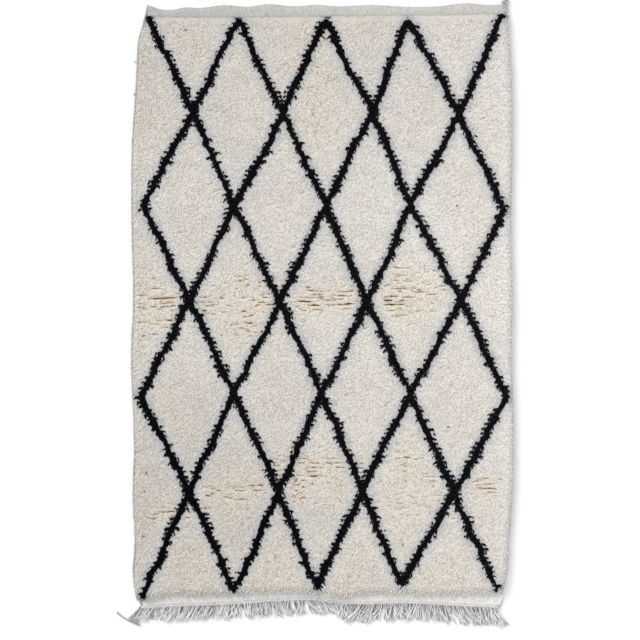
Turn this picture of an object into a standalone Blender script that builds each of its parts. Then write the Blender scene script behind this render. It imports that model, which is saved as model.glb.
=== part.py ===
"""A Beni Ourain rug: hand-knotted wool pile, two flat-woven ends and a warp fringe at one end.

The rug lies flat with its underside on Z = 0. X runs across it and +Y runs along it, towards the
end without a fringe. Its plan is given by short tables of its four sides, measured in metres from
the rug's own middle, and at the end everything is moved so that the origin is under the middle of
the whole outline, fringe and loose corner cord included.
"""
import bpy
import numpy as np

# Thicknesses, in metres
WEAVE_THICKNESS = 0.0050        # the flat-woven ends
PILE_THICKNESS = 0.0230         # weave and pile together
SIDE_THICKNESS = 0.0110         # the outermost tufts, where the side turns down
SIDE_ROUND = 0.026              # how far in from the sides the pile reaches its height
END_ROUND = 0.016               # the same at the two ends of the pile
PILE_WAVE = 0.0011              # gentle unevenness of the pile's surface
PILE_WAVE_ACROSS = 9.0          # its waves, in radians for each metre
PILE_WAVE_ALONG = 6.5
PILE_WAVE_BEND = 1.3            # how far the waves wander, in radians
WEAVE_RIPPLE = 0.0012           # soft ripples of the flat-woven ends
RIPPLE_ACROSS = 26.0            # its waves, in radians for each metre
RIPPLE_BEND = 3.0
FRINGED_END_RIPPLE = 0.5        # the fringed end ripples half as much as the other

# Fringe, in metres
PIECE_GAP = 0.0003              # clearance between the rug and its fringe
HEADING_WIDTH = 0.008           # the oversewn strip that the strands leave from
HEADING_THICKNESS = 0.0060
HEADING_EDGE = 0.0045           # the heading's thickness at its two edges
STRAND_THICKNESS = 0.0050
STRAND_EDGE_THICKNESS = 0.0020
TIP_THICKNESS = 0.0030
STRAND_GROUPS = 58
ROOT_FILL = 0.74                # a group's width as a share of its pitch, at the heading
TIP_FILL = 0.46                 # the same at the tips
STRAND_CURVE = 1.4              # above 1, strands leave the heading straight and lean further out
LEAN_SHARE = 0.40               # how much of the strands' lean their solid follows
CORNER_CORD_WIDTH = 0.010

# Spacing of the surface's grid, in metres
SIDE_STEPS = (0.0, 0.003, 0.008, 0.015, 0.026)
END_STEPS = (0.0, 0.002, 0.006, 0.011, 0.018)
GRID_ACROSS = 0.045
GRID_ALONG = 0.042

# Lines that the four sides stay close to, used to spread the grid along the rug
NOMINAL_BOTTOM = -1.192
NOMINAL_PILE_BOTTOM = -1.150
NOMINAL_PILE_TOP = 1.163
NOMINAL_TOP = 1.200

SIDE_COLUMNS = [("along", float), ("across", float)]
END_COLUMNS = [("across", float), ("along", float)]
LEAN_COLUMNS = [("across", float), ("lean", float), ("length", float)]

LEFT_SIDE = np.array([
    (-1.208, -0.728),
    (-1.176, -0.735),
    (-1.140, -0.751),
    (-1.084, -0.760),
    (-0.936, -0.754),
    (-0.776, -0.762),
    (-0.576, -0.757),
    (-0.168, -0.768),
    (0.024, -0.760),
    (0.312, -0.766),
    (0.692, -0.763),
    (0.840, -0.752),
    (0.972, -0.745),
    (1.064, -0.739),
    (1.112, -0.726),
    (1.168, -0.712),
    (1.204, -0.704),
], dtype=SIDE_COLUMNS)

RIGHT_SIDE = np.array([
    (-1.208, 0.702),
    (-1.160, 0.720),
    (-1.096, 0.736),
    (-0.928, 0.750),
    (-0.704, 0.765),
    (-0.536, 0.767),
    (-0.176, 0.760),
    (0.024, 0.763),
    (0.344, 0.757),
    (0.608, 0.762),
    (0.832, 0.761),
    (1.000, 0.754),
    (1.180, 0.743),
    (1.224, 0.741),
], dtype=SIDE_COLUMNS)

BOTTOM_END = np.array([
    (-0.728, -1.208),
    (-0.600, -1.200),
    (-0.452, -1.194),
    (-0.308, -1.188),
    (-0.196, -1.179),
    (-0.028, -1.176),
    (0.068, -1.188),
    (0.348, -1.188),
    (0.504, -1.196),
    (0.702, -1.206),
], dtype=END_COLUMNS)

PILE_BOTTOM = np.array([
    (-0.735, -1.176),
    (-0.656, -1.157),
    (-0.420, -1.148),
    (-0.252, -1.140),
    (-0.028, -1.144),
    (0.068, -1.160),
    (0.168, -1.145),
    (0.404, -1.148),
    (0.720, -1.140),
], dtype=END_COLUMNS)

PILE_TOP = np.array([
    (-0.716, 1.162),
    (-0.500, 1.158),
    (0.000, 1.162),
    (0.400, 1.167),
    (0.742, 1.170),
], dtype=END_COLUMNS)

TOP_END = np.array([
    (-0.706, 1.206),
    (-0.680, 1.195),
    (-0.640, 1.184),
    (-0.600, 1.184),
    (-0.556, 1.193),
    (-0.492, 1.191),
    (-0.400, 1.203),
    (-0.296, 1.196),
    (-0.228, 1.206),
    (-0.108, 1.198),
    (-0.028, 1.204),
    (0.052, 1.198),
    (0.184, 1.203),
    (0.348, 1.196),
    (0.452, 1.197),
    (0.584, 1.210),
    (0.660, 1.203),
    (0.704, 1.208),
    (0.722, 1.222),
    (0.742, 1.224),
], dtype=END_COLUMNS)

# How the fringe hangs: the sideways lean of a strand's tip, and the strands' length
FRINGE = np.array([
    (-0.728, -0.040, 0.052),
    (-0.640, -0.018, 0.058),
    (-0.500, -0.030, 0.064),
    (-0.360, -0.006, 0.064),
    (-0.200, 0.002, 0.064),
    (-0.060, 0.028, 0.060),
    (0.040, 0.036, 0.058),
    (0.120, -0.024, 0.074),
    (0.260, -0.008, 0.072),
    (0.420, 0.010, 0.072),
    (0.520, 0.040, 0.076),
    (0.620, 0.030, 0.076),
    (0.702, 0.022, 0.078),
], dtype=LEAN_COLUMNS)

# The loose cord across the tips of the first strands, from its outer end to its inner end
CORNER_CORD = np.array([
    (-0.824, -1.224),
    (-0.808, -1.238),
    (-0.790, -1.250),
    (-0.774, -1.259),
    (-0.764, -1.264),
    (-0.754, -1.268),
    (-0.733, -1.276),
], dtype=END_COLUMNS)
CORNER_CORD_MEETS = 2           # counted from 0, the row where the first strands' left edge meets it


def smooth_through(knots, values, at):
    """Cubic through every knot, with each knot's slope taken from its two neighbours."""
    slopes = np.gradient(values, knots)
    cell = np.clip(np.searchsorted(knots, at, side="right") - 1, 0, len(knots) - 2)
    span = knots[cell + 1] - knots[cell]
    part = np.clip((at - knots[cell]) / span, 0.0, 1.0)
    rest = 1.0 - part
    start = values[cell] * (1.0 + 2.0 * part) * rest ** 2
    end = values[cell + 1] * (1.0 + 2.0 * rest) * part ** 2
    bend = span * part * rest * (slopes[cell] * rest - slopes[cell + 1] * part)
    return start + end + bend


def side_at(table, along):
    """Where a side of the rug lies across it, for places along it."""
    return smooth_through(table["along"], table["across"], along)


def end_at(table, across):
    """Where an end of the rug, or of its pile, lies along it, for places across it."""
    return smooth_through(table["across"], table["along"], across)


def quarter_round(distance, radius):
    """Height of a quarter circle, from 0 at the edge to 1 at the radius and beyond."""
    part = np.clip(distance / radius, 0.0, 1.0)
    return np.sqrt(1.0 - (1.0 - part) ** 2)


def steps_between(start, end, edge_steps, spacing):
    """Places from start to end: close together next to both edges and even between them."""
    near_start = start + np.array(edge_steps)
    near_end = end - np.array(edge_steps)[::-1]
    count = int(round((near_end[0] - near_start[-1]) / spacing))
    middle = np.linspace(near_start[-1], near_end[0], count + 1)[1:-1]
    return np.concatenate([near_start, middle, near_end])


def grid_faces(rows, columns):
    """Corner numbers of the faces of a grid whose points are numbered row by row."""
    first = np.arange(rows - 1)[:, None] * columns + np.arange(columns - 1)[None, :]
    corners = np.stack([first, first + 1, first + columns + 1, first + columns], axis=-1)
    return corners.reshape(-1, 4)


def open_edges(faces):
    """The directed edges that only one face has, so those round the outline."""
    starts = faces.ravel()
    ends = np.roll(faces, -1, axis=1).ravel()
    edges = set(zip(starts.tolist(), ends.tolist()))
    return [edge for edge in edges if edge[::-1] not in edges]


def outline_loop(faces):
    """The outline's points in order, anticlockwise from above."""
    following = dict(open_edges(faces))
    loop = [min(following)]
    while following[loop[-1]] != loop[0]:
        loop.append(following[loop[-1]])
    return loop


def solid_on_ground(name, points, faces, material):
    """A closed solid from a top surface: walls go down from its outline to a flat underside."""
    loop = outline_loop(faces)
    count = len(points)
    ground = points[loop].copy()
    ground[:, 2] = 0.0
    walls = []
    for index, start in enumerate(loop):
        following = (index + 1) % len(loop)
        walls.append((start, count + index, count + following, loop[following]))
    underside = tuple(range(count + len(loop) - 1, count - 1, -1))
    mesh = bpy.data.meshes.new(name)
    vertices = np.concatenate([points, ground])
    mesh.from_pydata(vertices.tolist(), [], faces.tolist() + walls + [underside])
    mesh.materials.append(material)
    mesh.shade_smooth()
    mesh.set_sharp_from_angle(angle=np.radians(50.0))
    piece = bpy.data.objects.new(name, mesh)
    bpy.context.scene.collection.objects.link(piece)
    return piece


def wool_material(name, colour, roughness):
    """A plain matt wool of one colour."""
    material = bpy.data.materials.new(name)
    material.use_nodes = True
    shader = material.node_tree.nodes["Principled BSDF"]
    shader.inputs["Base Color"].default_value = (*colour, 1.0)
    shader.inputs["Roughness"].default_value = roughness
    shader.inputs["Metallic"].default_value = 0.0
    return material


def rug_surface():
    """Grid of points of the rug's top, from the fringed end up: pile, and flat weave at both ends.

    Along the rug each column runs bottom end, bottom of the pile, top of the pile, top end, and a
    row is a share of the way through one of those three stretches.
    """
    nominal_pile = steps_between(NOMINAL_PILE_BOTTOM, NOMINAL_PILE_TOP, END_STEPS, GRID_ALONG)
    nominal = np.concatenate([
        np.linspace(NOMINAL_BOTTOM, NOMINAL_PILE_BOTTOM, 3)[:-1],
        nominal_pile,
        np.linspace(NOMINAL_PILE_TOP, NOMINAL_TOP, 3)[1:],
    ])
    left = side_at(LEFT_SIDE, nominal)
    right = side_at(RIGHT_SIDE, nominal)
    widest = (right - left).max()
    share = steps_between(0.0, widest, SIDE_STEPS, GRID_ACROSS) / widest
    across = left[:, None] + (right - left)[:, None] * share[None, :]

    bottom = end_at(BOTTOM_END, across)
    pile_bottom = end_at(PILE_BOTTOM, across)
    pile_top = end_at(PILE_TOP, across)
    top = end_at(TOP_END, across)
    rows = nominal[:, None]
    in_bottom = np.clip((rows - NOMINAL_BOTTOM) / (NOMINAL_PILE_BOTTOM - NOMINAL_BOTTOM), 0.0, 1.0)
    in_pile = np.clip((rows - NOMINAL_PILE_BOTTOM) / (NOMINAL_PILE_TOP - NOMINAL_PILE_BOTTOM), 0.0, 1.0)
    in_top = np.clip((rows - NOMINAL_PILE_TOP) / (NOMINAL_TOP - NOMINAL_PILE_TOP), 0.0, 1.0)
    along = bottom + (pile_bottom - bottom) * in_bottom
    along = along + (pile_top - pile_bottom) * in_pile + (top - pile_top) * in_top

    from_side = np.minimum(across - left[:, None], right[:, None] - across)
    from_end = np.minimum(in_pile, 1.0 - in_pile) * (pile_top - pile_bottom)
    side_height = SIDE_THICKNESS + (PILE_THICKNESS - SIDE_THICKNESS) * quarter_round(from_side, SIDE_ROUND)
    wander = PILE_WAVE_BEND * np.sin(PILE_WAVE_ALONG * along)
    wave = PILE_WAVE * np.sin(PILE_WAVE_ACROSS * across + wander) * np.cos(PILE_WAVE_ALONG * along)
    ripple = WEAVE_RIPPLE * np.sin(RIPPLE_ACROSS * across + RIPPLE_BEND * np.sin(PILE_WAVE_ACROSS * across))
    woven = WEAVE_THICKNESS + ripple * (in_top + FRINGED_END_RIPPLE * (1.0 - in_bottom))
    pile = side_height + wave
    height = woven + (pile - woven) * quarter_round(from_end, END_ROUND)
    return np.stack([across, along, height], axis=-1)


def cord_sections(path, width, edge_height, ridge_height):
    """Three points across a flat cord at each point of its path: left edge, ridge, right edge."""
    heading = np.gradient(path, axis=0)
    heading /= np.linalg.norm(heading, axis=1, keepdims=True)
    to_left = np.stack([-heading[:, 1], heading[:, 0]], axis=1)
    offsets = np.array([0.5, 0.0, -0.5])
    plan = path[:, None, :] + to_left[:, None, :] * (offsets[None, :, None] * width)
    heights = np.array([edge_height, ridge_height, edge_height])
    heights = np.broadcast_to(heights, plan.shape[:2])
    return np.concatenate([plan, heights[..., None]], axis=-1)


def fringe_surface(rug_edge):
    """Points and faces of the fringe's top: a heading strip and tapering groups of strands.

    The heading runs along the rug's edge, a row of points, at the clearance between the two.

    Each group has three columns of points, its left edge, ridge and right edge, in four rows: the
    seam, then three from the heading to the tips. The first group ends on the loose corner cord.
    """
    start = FRINGE["across"][0] + HEADING_WIDTH
    end = FRINGE["across"][-1] - HEADING_WIDTH
    pitch = (end - start) / (STRAND_GROUPS - 1)
    centre = np.linspace(start, end, STRAND_GROUPS)
    lean = smooth_through(FRINGE["across"], FRINGE["lean"], centre) * LEAN_SHARE
    length = smooth_through(FRINGE["across"], FRINGE["length"], centre)
    tip = centre + lean
    room = np.minimum(np.gradient(tip), pitch)

    columns = np.array([-0.5, 0.0, 0.5])
    root_x = centre[:, None] + columns * (pitch * ROOT_FILL)
    tip_x = tip[:, None] + columns * (room * TIP_FILL)[:, None]
    seam = np.interp(root_x, rug_edge[:, 0], rug_edge[:, 1]) - PIECE_GAP
    heading_end = seam - HEADING_WIDTH
    tip_y = heading_end - length[:, None] + HEADING_WIDTH
    share = np.array([0.0, 0.5, 1.0])
    strand_x = root_x[None] + (tip_x - root_x)[None] * share[:, None, None] ** STRAND_CURVE
    strand_y = heading_end[None] + (tip_y - heading_end)[None] * share[:, None, None]

    # Thickness at the heading, half-way and at the tip: left edge, ridge, right edge
    strand_z = np.array([
        (HEADING_EDGE, HEADING_THICKNESS, HEADING_EDGE),
        (STRAND_EDGE_THICKNESS, STRAND_THICKNESS, STRAND_EDGE_THICKNESS),
        (STRAND_EDGE_THICKNESS, TIP_THICKNESS, STRAND_EDGE_THICKNESS),
    ])
    strand_z = np.broadcast_to(strand_z[:, None, :], strand_x.shape)
    seam_z = np.full_like(seam, HEADING_EDGE)

    heading = np.stack([root_x, seam, seam_z], axis=-1)[None]
    strands = np.stack([strand_x, strand_y, strand_z], axis=-1)
    grid = np.concatenate([heading, strands])[::-1]
    rows = len(grid)
    columns_in_all = STRAND_GROUPS * 3
    faces = grid_faces(rows, columns_in_all)
    # Between two groups only the heading, the grid's uppermost row of faces, is filled
    between_groups = faces[:, 0] % 3 == 2
    on_heading = faces[:, 0] >= (rows - 2) * columns_in_all
    faces = faces[~between_groups | on_heading]
    points = grid.reshape(-1, 3)

    path = np.stack([CORNER_CORD["across"], CORNER_CORD["along"]], axis=1)
    cord = cord_sections(path, CORNER_CORD_WIDTH, STRAND_EDGE_THICKNESS, STRAND_THICKNESS)
    cord_faces = grid_faces(len(path), 3) + len(points)
    points = np.concatenate([points, cord.reshape(-1, 3)])
    # The first group's tip points become three neighbouring points of the cord's upper edge
    for column in range(3):
        joint = rows * columns_in_all + (CORNER_CORD_MEETS + column) * 3
        faces[faces == column] = joint
    faces = np.concatenate([faces, cord_faces])
    used, renumbered = np.unique(faces, return_inverse=True)
    return points[used], renumbered.reshape(-1, 4)


def centre_on_footprint(pieces):
    """Move every piece's points so that the origin is under the middle of the whole outline."""
    corners = []
    for piece in pieces:
        flat = np.empty(len(piece.data.vertices) * 3, dtype=np.float32)
        piece.data.vertices.foreach_get("co", flat)
        corners.append(flat.reshape(-1, 3))
    everything = np.concatenate(corners)
    middle = (everything.min(axis=0) + everything.max(axis=0)) / 2.0
    middle[2] = 0.0
    for piece, points in zip(pieces, corners):
        piece.data.vertices.foreach_set("co", (points - middle).ravel())
        piece.data.update()


def build():
    """Make the rug and its fringe, in an empty scene."""
    for leftover in list(bpy.data.objects):
        bpy.data.objects.remove(leftover, do_unlink=True)
    pile_wool = wool_material("cream_pile_wool", (0.66, 0.61, 0.54), 0.95)
    warp_wool = wool_material("undyed_warp_wool", (0.62, 0.61, 0.60), 0.90)
    surface = rug_surface()
    rug_faces = grid_faces(*surface.shape[:2])
    rug = solid_on_ground("pile_rug", surface.reshape(-1, 3), rug_faces, pile_wool)
    fringe = solid_on_ground("warp_fringe", *fringe_surface(surface[0]), warp_wool)
    centre_on_footprint([rug, fringe])


build()
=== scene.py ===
"""The looks of a Beni Ourain rug: a knotted wool pile with a black lozenge lattice, flat-woven ends
and a warp fringe.

Shapes are worked out on the rug's own plan, in metres from its middle, with X across, +Y along it
away from the fringe and +Z up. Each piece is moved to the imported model's place as it is made.
"""
import bpy
import numpy as np
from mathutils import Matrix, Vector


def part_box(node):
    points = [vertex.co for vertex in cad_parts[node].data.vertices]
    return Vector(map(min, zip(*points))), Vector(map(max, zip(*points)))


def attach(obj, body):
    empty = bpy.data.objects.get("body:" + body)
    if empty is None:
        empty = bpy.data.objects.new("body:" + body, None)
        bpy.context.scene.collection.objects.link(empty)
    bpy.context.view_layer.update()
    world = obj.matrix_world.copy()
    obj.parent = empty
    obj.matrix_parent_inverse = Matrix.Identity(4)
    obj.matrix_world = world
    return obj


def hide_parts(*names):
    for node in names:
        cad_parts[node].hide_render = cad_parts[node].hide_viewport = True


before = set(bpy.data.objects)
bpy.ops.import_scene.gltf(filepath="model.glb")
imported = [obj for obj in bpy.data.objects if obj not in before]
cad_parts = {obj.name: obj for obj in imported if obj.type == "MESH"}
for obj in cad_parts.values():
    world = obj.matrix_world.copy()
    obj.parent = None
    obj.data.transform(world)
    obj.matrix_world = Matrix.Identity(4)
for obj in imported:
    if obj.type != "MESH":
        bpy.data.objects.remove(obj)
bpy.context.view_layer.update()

# ---------------------------------------------------------------- sizes, in metres

SEED = 7
WEAVE_THICKNESS = 0.0042        # ground weave and flat-woven ends
PILE_HEIGHT = 0.0225            # top of the pile above the floor
SIDE_HEIGHT = 0.0105            # the outermost tufts
SIDE_ROUND = 0.026              # how far in the pile reaches its height
END_ROUND = 0.030
SELVEDGE_WIDTH = 0.0085
SELVEDGE_HEIGHT = 0.0080

KNOT_ROWS = 125                 # rows of knots, about 18.5 mm apart
KNOTS_IN_ROW = 200              # about 7.6 mm apart
BED_DEPTH = 0.0009              # the felted lower pile lies this far under the tips
CREAM_REACH = 0.0175            # how far a cream tuft's end lies over the pile
BLACK_REACH = 0.018
BLACK_WIDER = 1.45              # black strands against cream ones
BED_INSET = 0.004               # from the side to the bed, and to the first tufts
PILE_INSET = 0.0065
STRAND_HALF_WIDTH = 0.00165
STRAND_FLATTEN = 0.20           # a strand's height against its width
GOLDEN_SHARE = 0.618034         # steps of this share tell neighbouring strands apart
TOOTH_CHANCE = 0.7              # of a strand near a line's edge standing out of it
LUMP_WIDTH = 0.04               # the steps in a line's edge, along a row and across the line
LUMP_DEPTH = 0.0066
WEAVE_INSET = 0.003             # from the side to the weave
FLOOR_GAP = 0.0004              # between the floor and what lies on it
WEFT_PITCH = 0.0030
WARP_PITCH = 0.0045
KNOT_ROW_PITCH = 0.0185
MAP_SIZE = 2.6                  # the side of the square that the planar map covers

LINE_HALF_WIDTH = 0.0136        # of the black lines, at the knots
FRINGE_STRANDS = 300
FRINGE_RADIUS = 0.0018
STITCHES = 300

# The wools' colours: strands from dull to bright, where yellow, beside a line and at the root in
# painted shade; the lower pile likewise, painted darker than the strands as shade; the partings'
# rims, tan and partly painted shade, and floors in painted shade; the weave and the knots on its underside
STRAND_DULL = (0.636, 0.604, 0.562, 1.0)
STRAND_BRIGHT = (0.957, 0.923, 0.880, 1.0)
STRAND_YELLOW = (0.80, 0.73, 0.625, 1.0)
STRAND_COOL = (0.826, 0.840, 0.862, 1.0)
STRAND_ROOT_SHADE = (0.42, 0.32, 0.20, 1.0)
BLACK_DEEP = (0.0034, 0.0034, 0.0048, 1.0)
BLACK_FADED = (0.0100, 0.0098, 0.0118, 1.0)
BED_DULL = (0.538, 0.511, 0.476, 1.0)
BED_BRIGHT = (0.800, 0.771, 0.737, 1.0)
BED_YELLOW = (0.76, 0.68, 0.56, 1.0)
BED_COOL = (0.713, 0.726, 0.745, 1.0)
BED_BLACK = (0.0015, 0.0015, 0.002, 1.0)
CREASE_TAN = (0.43, 0.27, 0.11, 1.0)
CREASE_FLOOR_SHADE = (0.035, 0.024, 0.016, 1.0)
WEAVE_GREY = (0.60, 0.588, 0.572, 1.0)
UNDER_CREAM = (0.66, 0.61, 0.54, 1.0)
UNDER_BLACK = (0.012, 0.011, 0.013, 1.0)

SIDE_COLUMNS = [("along", float), ("across", float)]
END_COLUMNS = [("across", float), ("along", float)]

LEFT_SIDE = np.array([
    (-1.208, -0.728),
    (-1.176, -0.735),
    (-1.140, -0.751),
    (-1.084, -0.760),
    (-0.936, -0.754),
    (-0.776, -0.762),
    (-0.576, -0.757),
    (-0.168, -0.768),
    (0.024, -0.760),
    (0.312, -0.766),
    (0.692, -0.763),
    (0.840, -0.752),
    (0.972, -0.745),
    (1.064, -0.739),
    (1.112, -0.726),
    (1.168, -0.712),
    (1.204, -0.704),
], dtype=SIDE_COLUMNS)

RIGHT_SIDE = np.array([
    (-1.208, 0.702),
    (-1.160, 0.720),
    (-1.096, 0.736),
    (-0.928, 0.750),
    (-0.704, 0.765),
    (-0.536, 0.767),
    (-0.176, 0.760),
    (0.024, 0.763),
    (0.344, 0.757),
    (0.608, 0.762),
    (0.832, 0.761),
    (1.000, 0.754),
    (1.180, 0.743),
    (1.224, 0.741),
], dtype=SIDE_COLUMNS)

BOTTOM_END = np.array([
    (-0.728, -1.208),
    (-0.600, -1.200),
    (-0.452, -1.194),
    (-0.308, -1.188),
    (-0.196, -1.179),
    (-0.028, -1.176),
    (0.068, -1.188),
    (0.348, -1.188),
    (0.504, -1.196),
    (0.702, -1.206),
], dtype=END_COLUMNS)

PILE_BOTTOM = np.array([
    (-0.735, -1.176),
    (-0.656, -1.157),
    (-0.420, -1.148),
    (-0.252, -1.140),
    (-0.028, -1.144),
    (0.068, -1.160),
    (0.168, -1.145),
    (0.404, -1.148),
    (0.720, -1.140),
], dtype=END_COLUMNS)

PILE_TOP = np.array([
    (-0.716, 1.162),
    (-0.500, 1.158),
    (0.000, 1.162),
    (0.400, 1.167),
    (0.742, 1.170),
], dtype=END_COLUMNS)

TOP_END = np.array([
    (-0.706, 1.206),
    (-0.680, 1.195),
    (-0.640, 1.184),
    (-0.600, 1.184),
    (-0.556, 1.193),
    (-0.492, 1.191),
    (-0.400, 1.203),
    (-0.296, 1.196),
    (-0.228, 1.206),
    (-0.108, 1.198),
    (-0.028, 1.204),
    (0.052, 1.198),
    (0.184, 1.203),
    (0.348, 1.196),
    (0.452, 1.197),
    (0.584, 1.210),
    (0.660, 1.203),
    (0.742, 1.206),
], dtype=END_COLUMNS)

# The lattice's crossings, row by row from the plain end, as (across, along). The lines run from
# each crossing to its two neighbours in the next row.
LATTICE_ROWS = (
    ((-0.698, 1.160), (-0.340, 1.145), (0.006, 1.142), (0.342, 1.140), (0.712, 1.162)),
    ((-0.520, 0.772), (-0.158, 0.768), (0.196, 0.774), (0.544, 0.764)),
    ((-0.718, 0.400), (-0.352, 0.396), (0.010, 0.400), (0.352, 0.404), (0.724, 0.384)),
    ((-0.532, 0.020), (-0.172, 0.016), (0.176, 0.016), (0.548, 0.024)),
    ((-0.726, -0.364), (-0.356, -0.348), (-0.004, -0.348), (0.348, -0.352), (0.736, -0.364)),
    ((-0.536, -0.744), (-0.176, -0.744), (0.156, -0.736), (0.524, -0.744)),
    ((-0.728, -1.164), (-0.352, -1.132), (-0.026, -1.124), (0.310, -1.114), (0.688, -1.124)),
)

# The main partings of the pile, each lying across the rug: its middle, its half length and how far
# it opens, from 0 to 1
PARTINGS = np.array([
    (-0.640, 0.031, 0.060, 1.0), (-0.676, 0.070, 0.024, 0.6), (-0.736, 0.080, 0.012, 0.7),
    (-0.728, 0.042, 0.020, 0.4), (-0.620, -0.002, 0.032, 0.8), (-0.676, -0.003, 0.016, 0.6),
    (-0.732, -0.004, 0.016, 0.4), (-0.620, 0.012, 0.032, 0.4), (-0.608, -0.056, 0.024, 0.9),
    (-0.648, -0.058, 0.016, 0.4), (-0.672, -0.072, 0.020, 0.4), (-0.628, -0.084, 0.024, 0.4),
    (-0.676, -0.112, 0.020, 0.4), (-0.476, 0.082, 0.020, 0.3), (-0.484, 0.016, 0.016, 0.5),
    (-0.448, 0.016, 0.012, 0.7), (-0.472, 0.036, 0.020, 0.3), (-0.452, 0.000, 0.020, 0.5),
    (-0.472, -0.018, 0.012, 0.8), (-0.448, -0.030, 0.024, 0.4), (-0.432, 0.006, 0.016, 0.3),
    (-0.324, 0.120, 0.032, 0.3), (-0.328, 0.100, 0.016, 0.6), (-0.308, 0.108, 0.012, 0.6),
    (-0.252, 0.080, 0.012, 0.5), (-0.224, 0.048, 0.016, 0.6), (-0.228, 0.034, 0.016, 0.5),
    (-0.272, 0.024, 0.020, 0.4), (-0.212, 0.006, 0.020, 1.0), (-0.244, 0.014, 0.016, 0.5),
    (-0.316, -0.020, 0.012, 0.7), (-0.296, -0.040, 0.024, 0.8), (-0.292, -0.068, 0.012, 0.8),
    (-0.272, -0.078, 0.012, 0.4), (-0.324, -0.088, 0.012, 0.6), (-0.300, -0.100, 0.016, 0.6),
    (-0.340, -0.072, 0.016, 0.3), (-0.292, -0.120, 0.016, 0.3), (-0.060, 0.076, 0.012, 0.6),
    (-0.032, 0.060, 0.036, 0.6), (-0.020, 0.046, 0.024, 0.6), (-0.064, 0.034, 0.032, 0.4),
    (-0.008, 0.032, 0.012, 0.7), (-0.072, 0.018, 0.036, 1.0), (-0.036, 0.004, 0.028, 1.0),
    (-0.020, -0.016, 0.024, 0.3), (0.088, 0.058, 0.036, 0.5), (0.076, 0.041, 0.040, 0.6),
    (0.048, 0.024, 0.040, 0.5), (0.088, 0.008, 0.044, 0.9), (0.028, 0.004, 0.020, 0.5),
    (0.096, -0.010, 0.012, 0.5), (0.320, 0.152, 0.032, 0.4), (0.308, 0.124, 0.028, 0.3),
    (0.288, 0.102, 0.020, 0.4), (0.340, 0.100, 0.016, 0.5), (0.420, 0.100, 0.012, 0.5),
    (0.308, 0.070, 0.036, 0.6), (0.388, 0.056, 0.036, 0.6), (0.436, 0.046, 0.024, 0.4),
    (0.272, 0.038, 0.032, 0.9), (0.340, 0.036, 0.028, 0.5), (0.260, 0.022, 0.020, 1.0),
    (0.316, 0.022, 0.012, 0.9), (0.284, 0.006, 0.044, 1.0), (0.268, -0.018, 0.020, 0.4),
    (0.316, -0.036, 0.024, 0.3), (0.472, 0.080, 0.016, 0.4), (0.488, 0.064, 0.016, 0.3),
    (-0.620, -0.820, 0.036, 0.9), (-0.672, -0.830, 0.020, 0.6), (-0.680, -0.846, 0.024, 0.4),
    (-0.632, -0.804, 0.024, 0.3), (-0.604, -0.788, 0.020, 0.3), (-0.604, -0.836, 0.020, 0.4),
    (-0.348, -0.718, 0.036, 0.5), (-0.264, -0.716, 0.028, 1.0), (-0.332, -0.736, 0.020, 0.5),
    (-0.264, -0.736, 0.020, 0.6), (-0.460, -0.756, 0.012, 0.8), (-0.440, -0.748, 0.012, 0.6),
    (-0.416, -0.736, 0.012, 0.5), (-0.328, -0.772, 0.028, 0.6), (-0.384, -0.762, 0.012, 0.4),
    (-0.460, -0.806, 0.016, 0.7), (-0.184, -0.636, 0.014, 0.8), (-0.172, -0.612, 0.020, 0.4),
    (-0.176, -0.656, 0.016, 0.5), (-0.192, -0.624, 0.016, 0.4), (-0.172, -0.676, 0.012, 0.4),
    (-0.080, -0.608, 0.024, 0.5), (-0.088, -0.626, 0.016, 0.6), (-0.032, -0.626, 0.020, 0.7),
    (0.048, -0.626, 0.040, 0.6), (0.040, -0.608, 0.032, 0.3), (-0.032, -0.644, 0.040, 0.6),
    (0.068, -0.644, 0.020, 0.6), (-0.044, -0.660, 0.024, 0.5), (-0.032, -0.678, 0.032, 0.9),
    (-0.076, -0.696, 0.012, 0.6), (-0.100, -0.712, 0.012, 0.6), (-0.048, -0.708, 0.010, 0.6),
    (-0.080, -0.722, 0.008, 0.6), (-0.108, -0.736, 0.008, 0.7), (-0.088, -0.746, 0.008, 0.5),
    (-0.116, -0.758, 0.008, 0.6), (-0.080, -0.764, 0.008, 0.6), (-0.116, -0.780, 0.008, 0.5),
    (0.012, -0.680, 0.008, 0.6), (0.020, -0.704, 0.008, 0.5), (0.044, -0.736, 0.008, 0.4),
    (0.060, -0.768, 0.008, 0.4), (0.148, -0.628, 0.016, 0.7), (0.152, -0.646, 0.016, 0.6),
    (0.156, -0.664, 0.012, 0.7), (0.336, -0.604, 0.016, 0.6), (0.328, -0.640, 0.008, 0.5),
    (0.372, -0.612, 0.008, 0.5), (0.328, -0.700, 0.012, 0.5), (0.440, -0.698, 0.016, 0.5),
    (0.436, -0.680, 0.036, 0.3), (0.408, -0.668, 0.016, 0.3), (0.636, -0.688, 0.028, 0.4),
    (0.608, -0.700, 0.016, 0.4), (0.648, -0.712, 0.040, 0.4), (0.656, -0.728, 0.036, 0.6),
    (0.676, -0.742, 0.020, 0.4), (-0.540, -0.844, 0.012, 0.5), (-0.164, -0.828, 0.016, 0.4),
], dtype=[("across", float), ("along", float), ("half", float), ("depth", float)])

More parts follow.
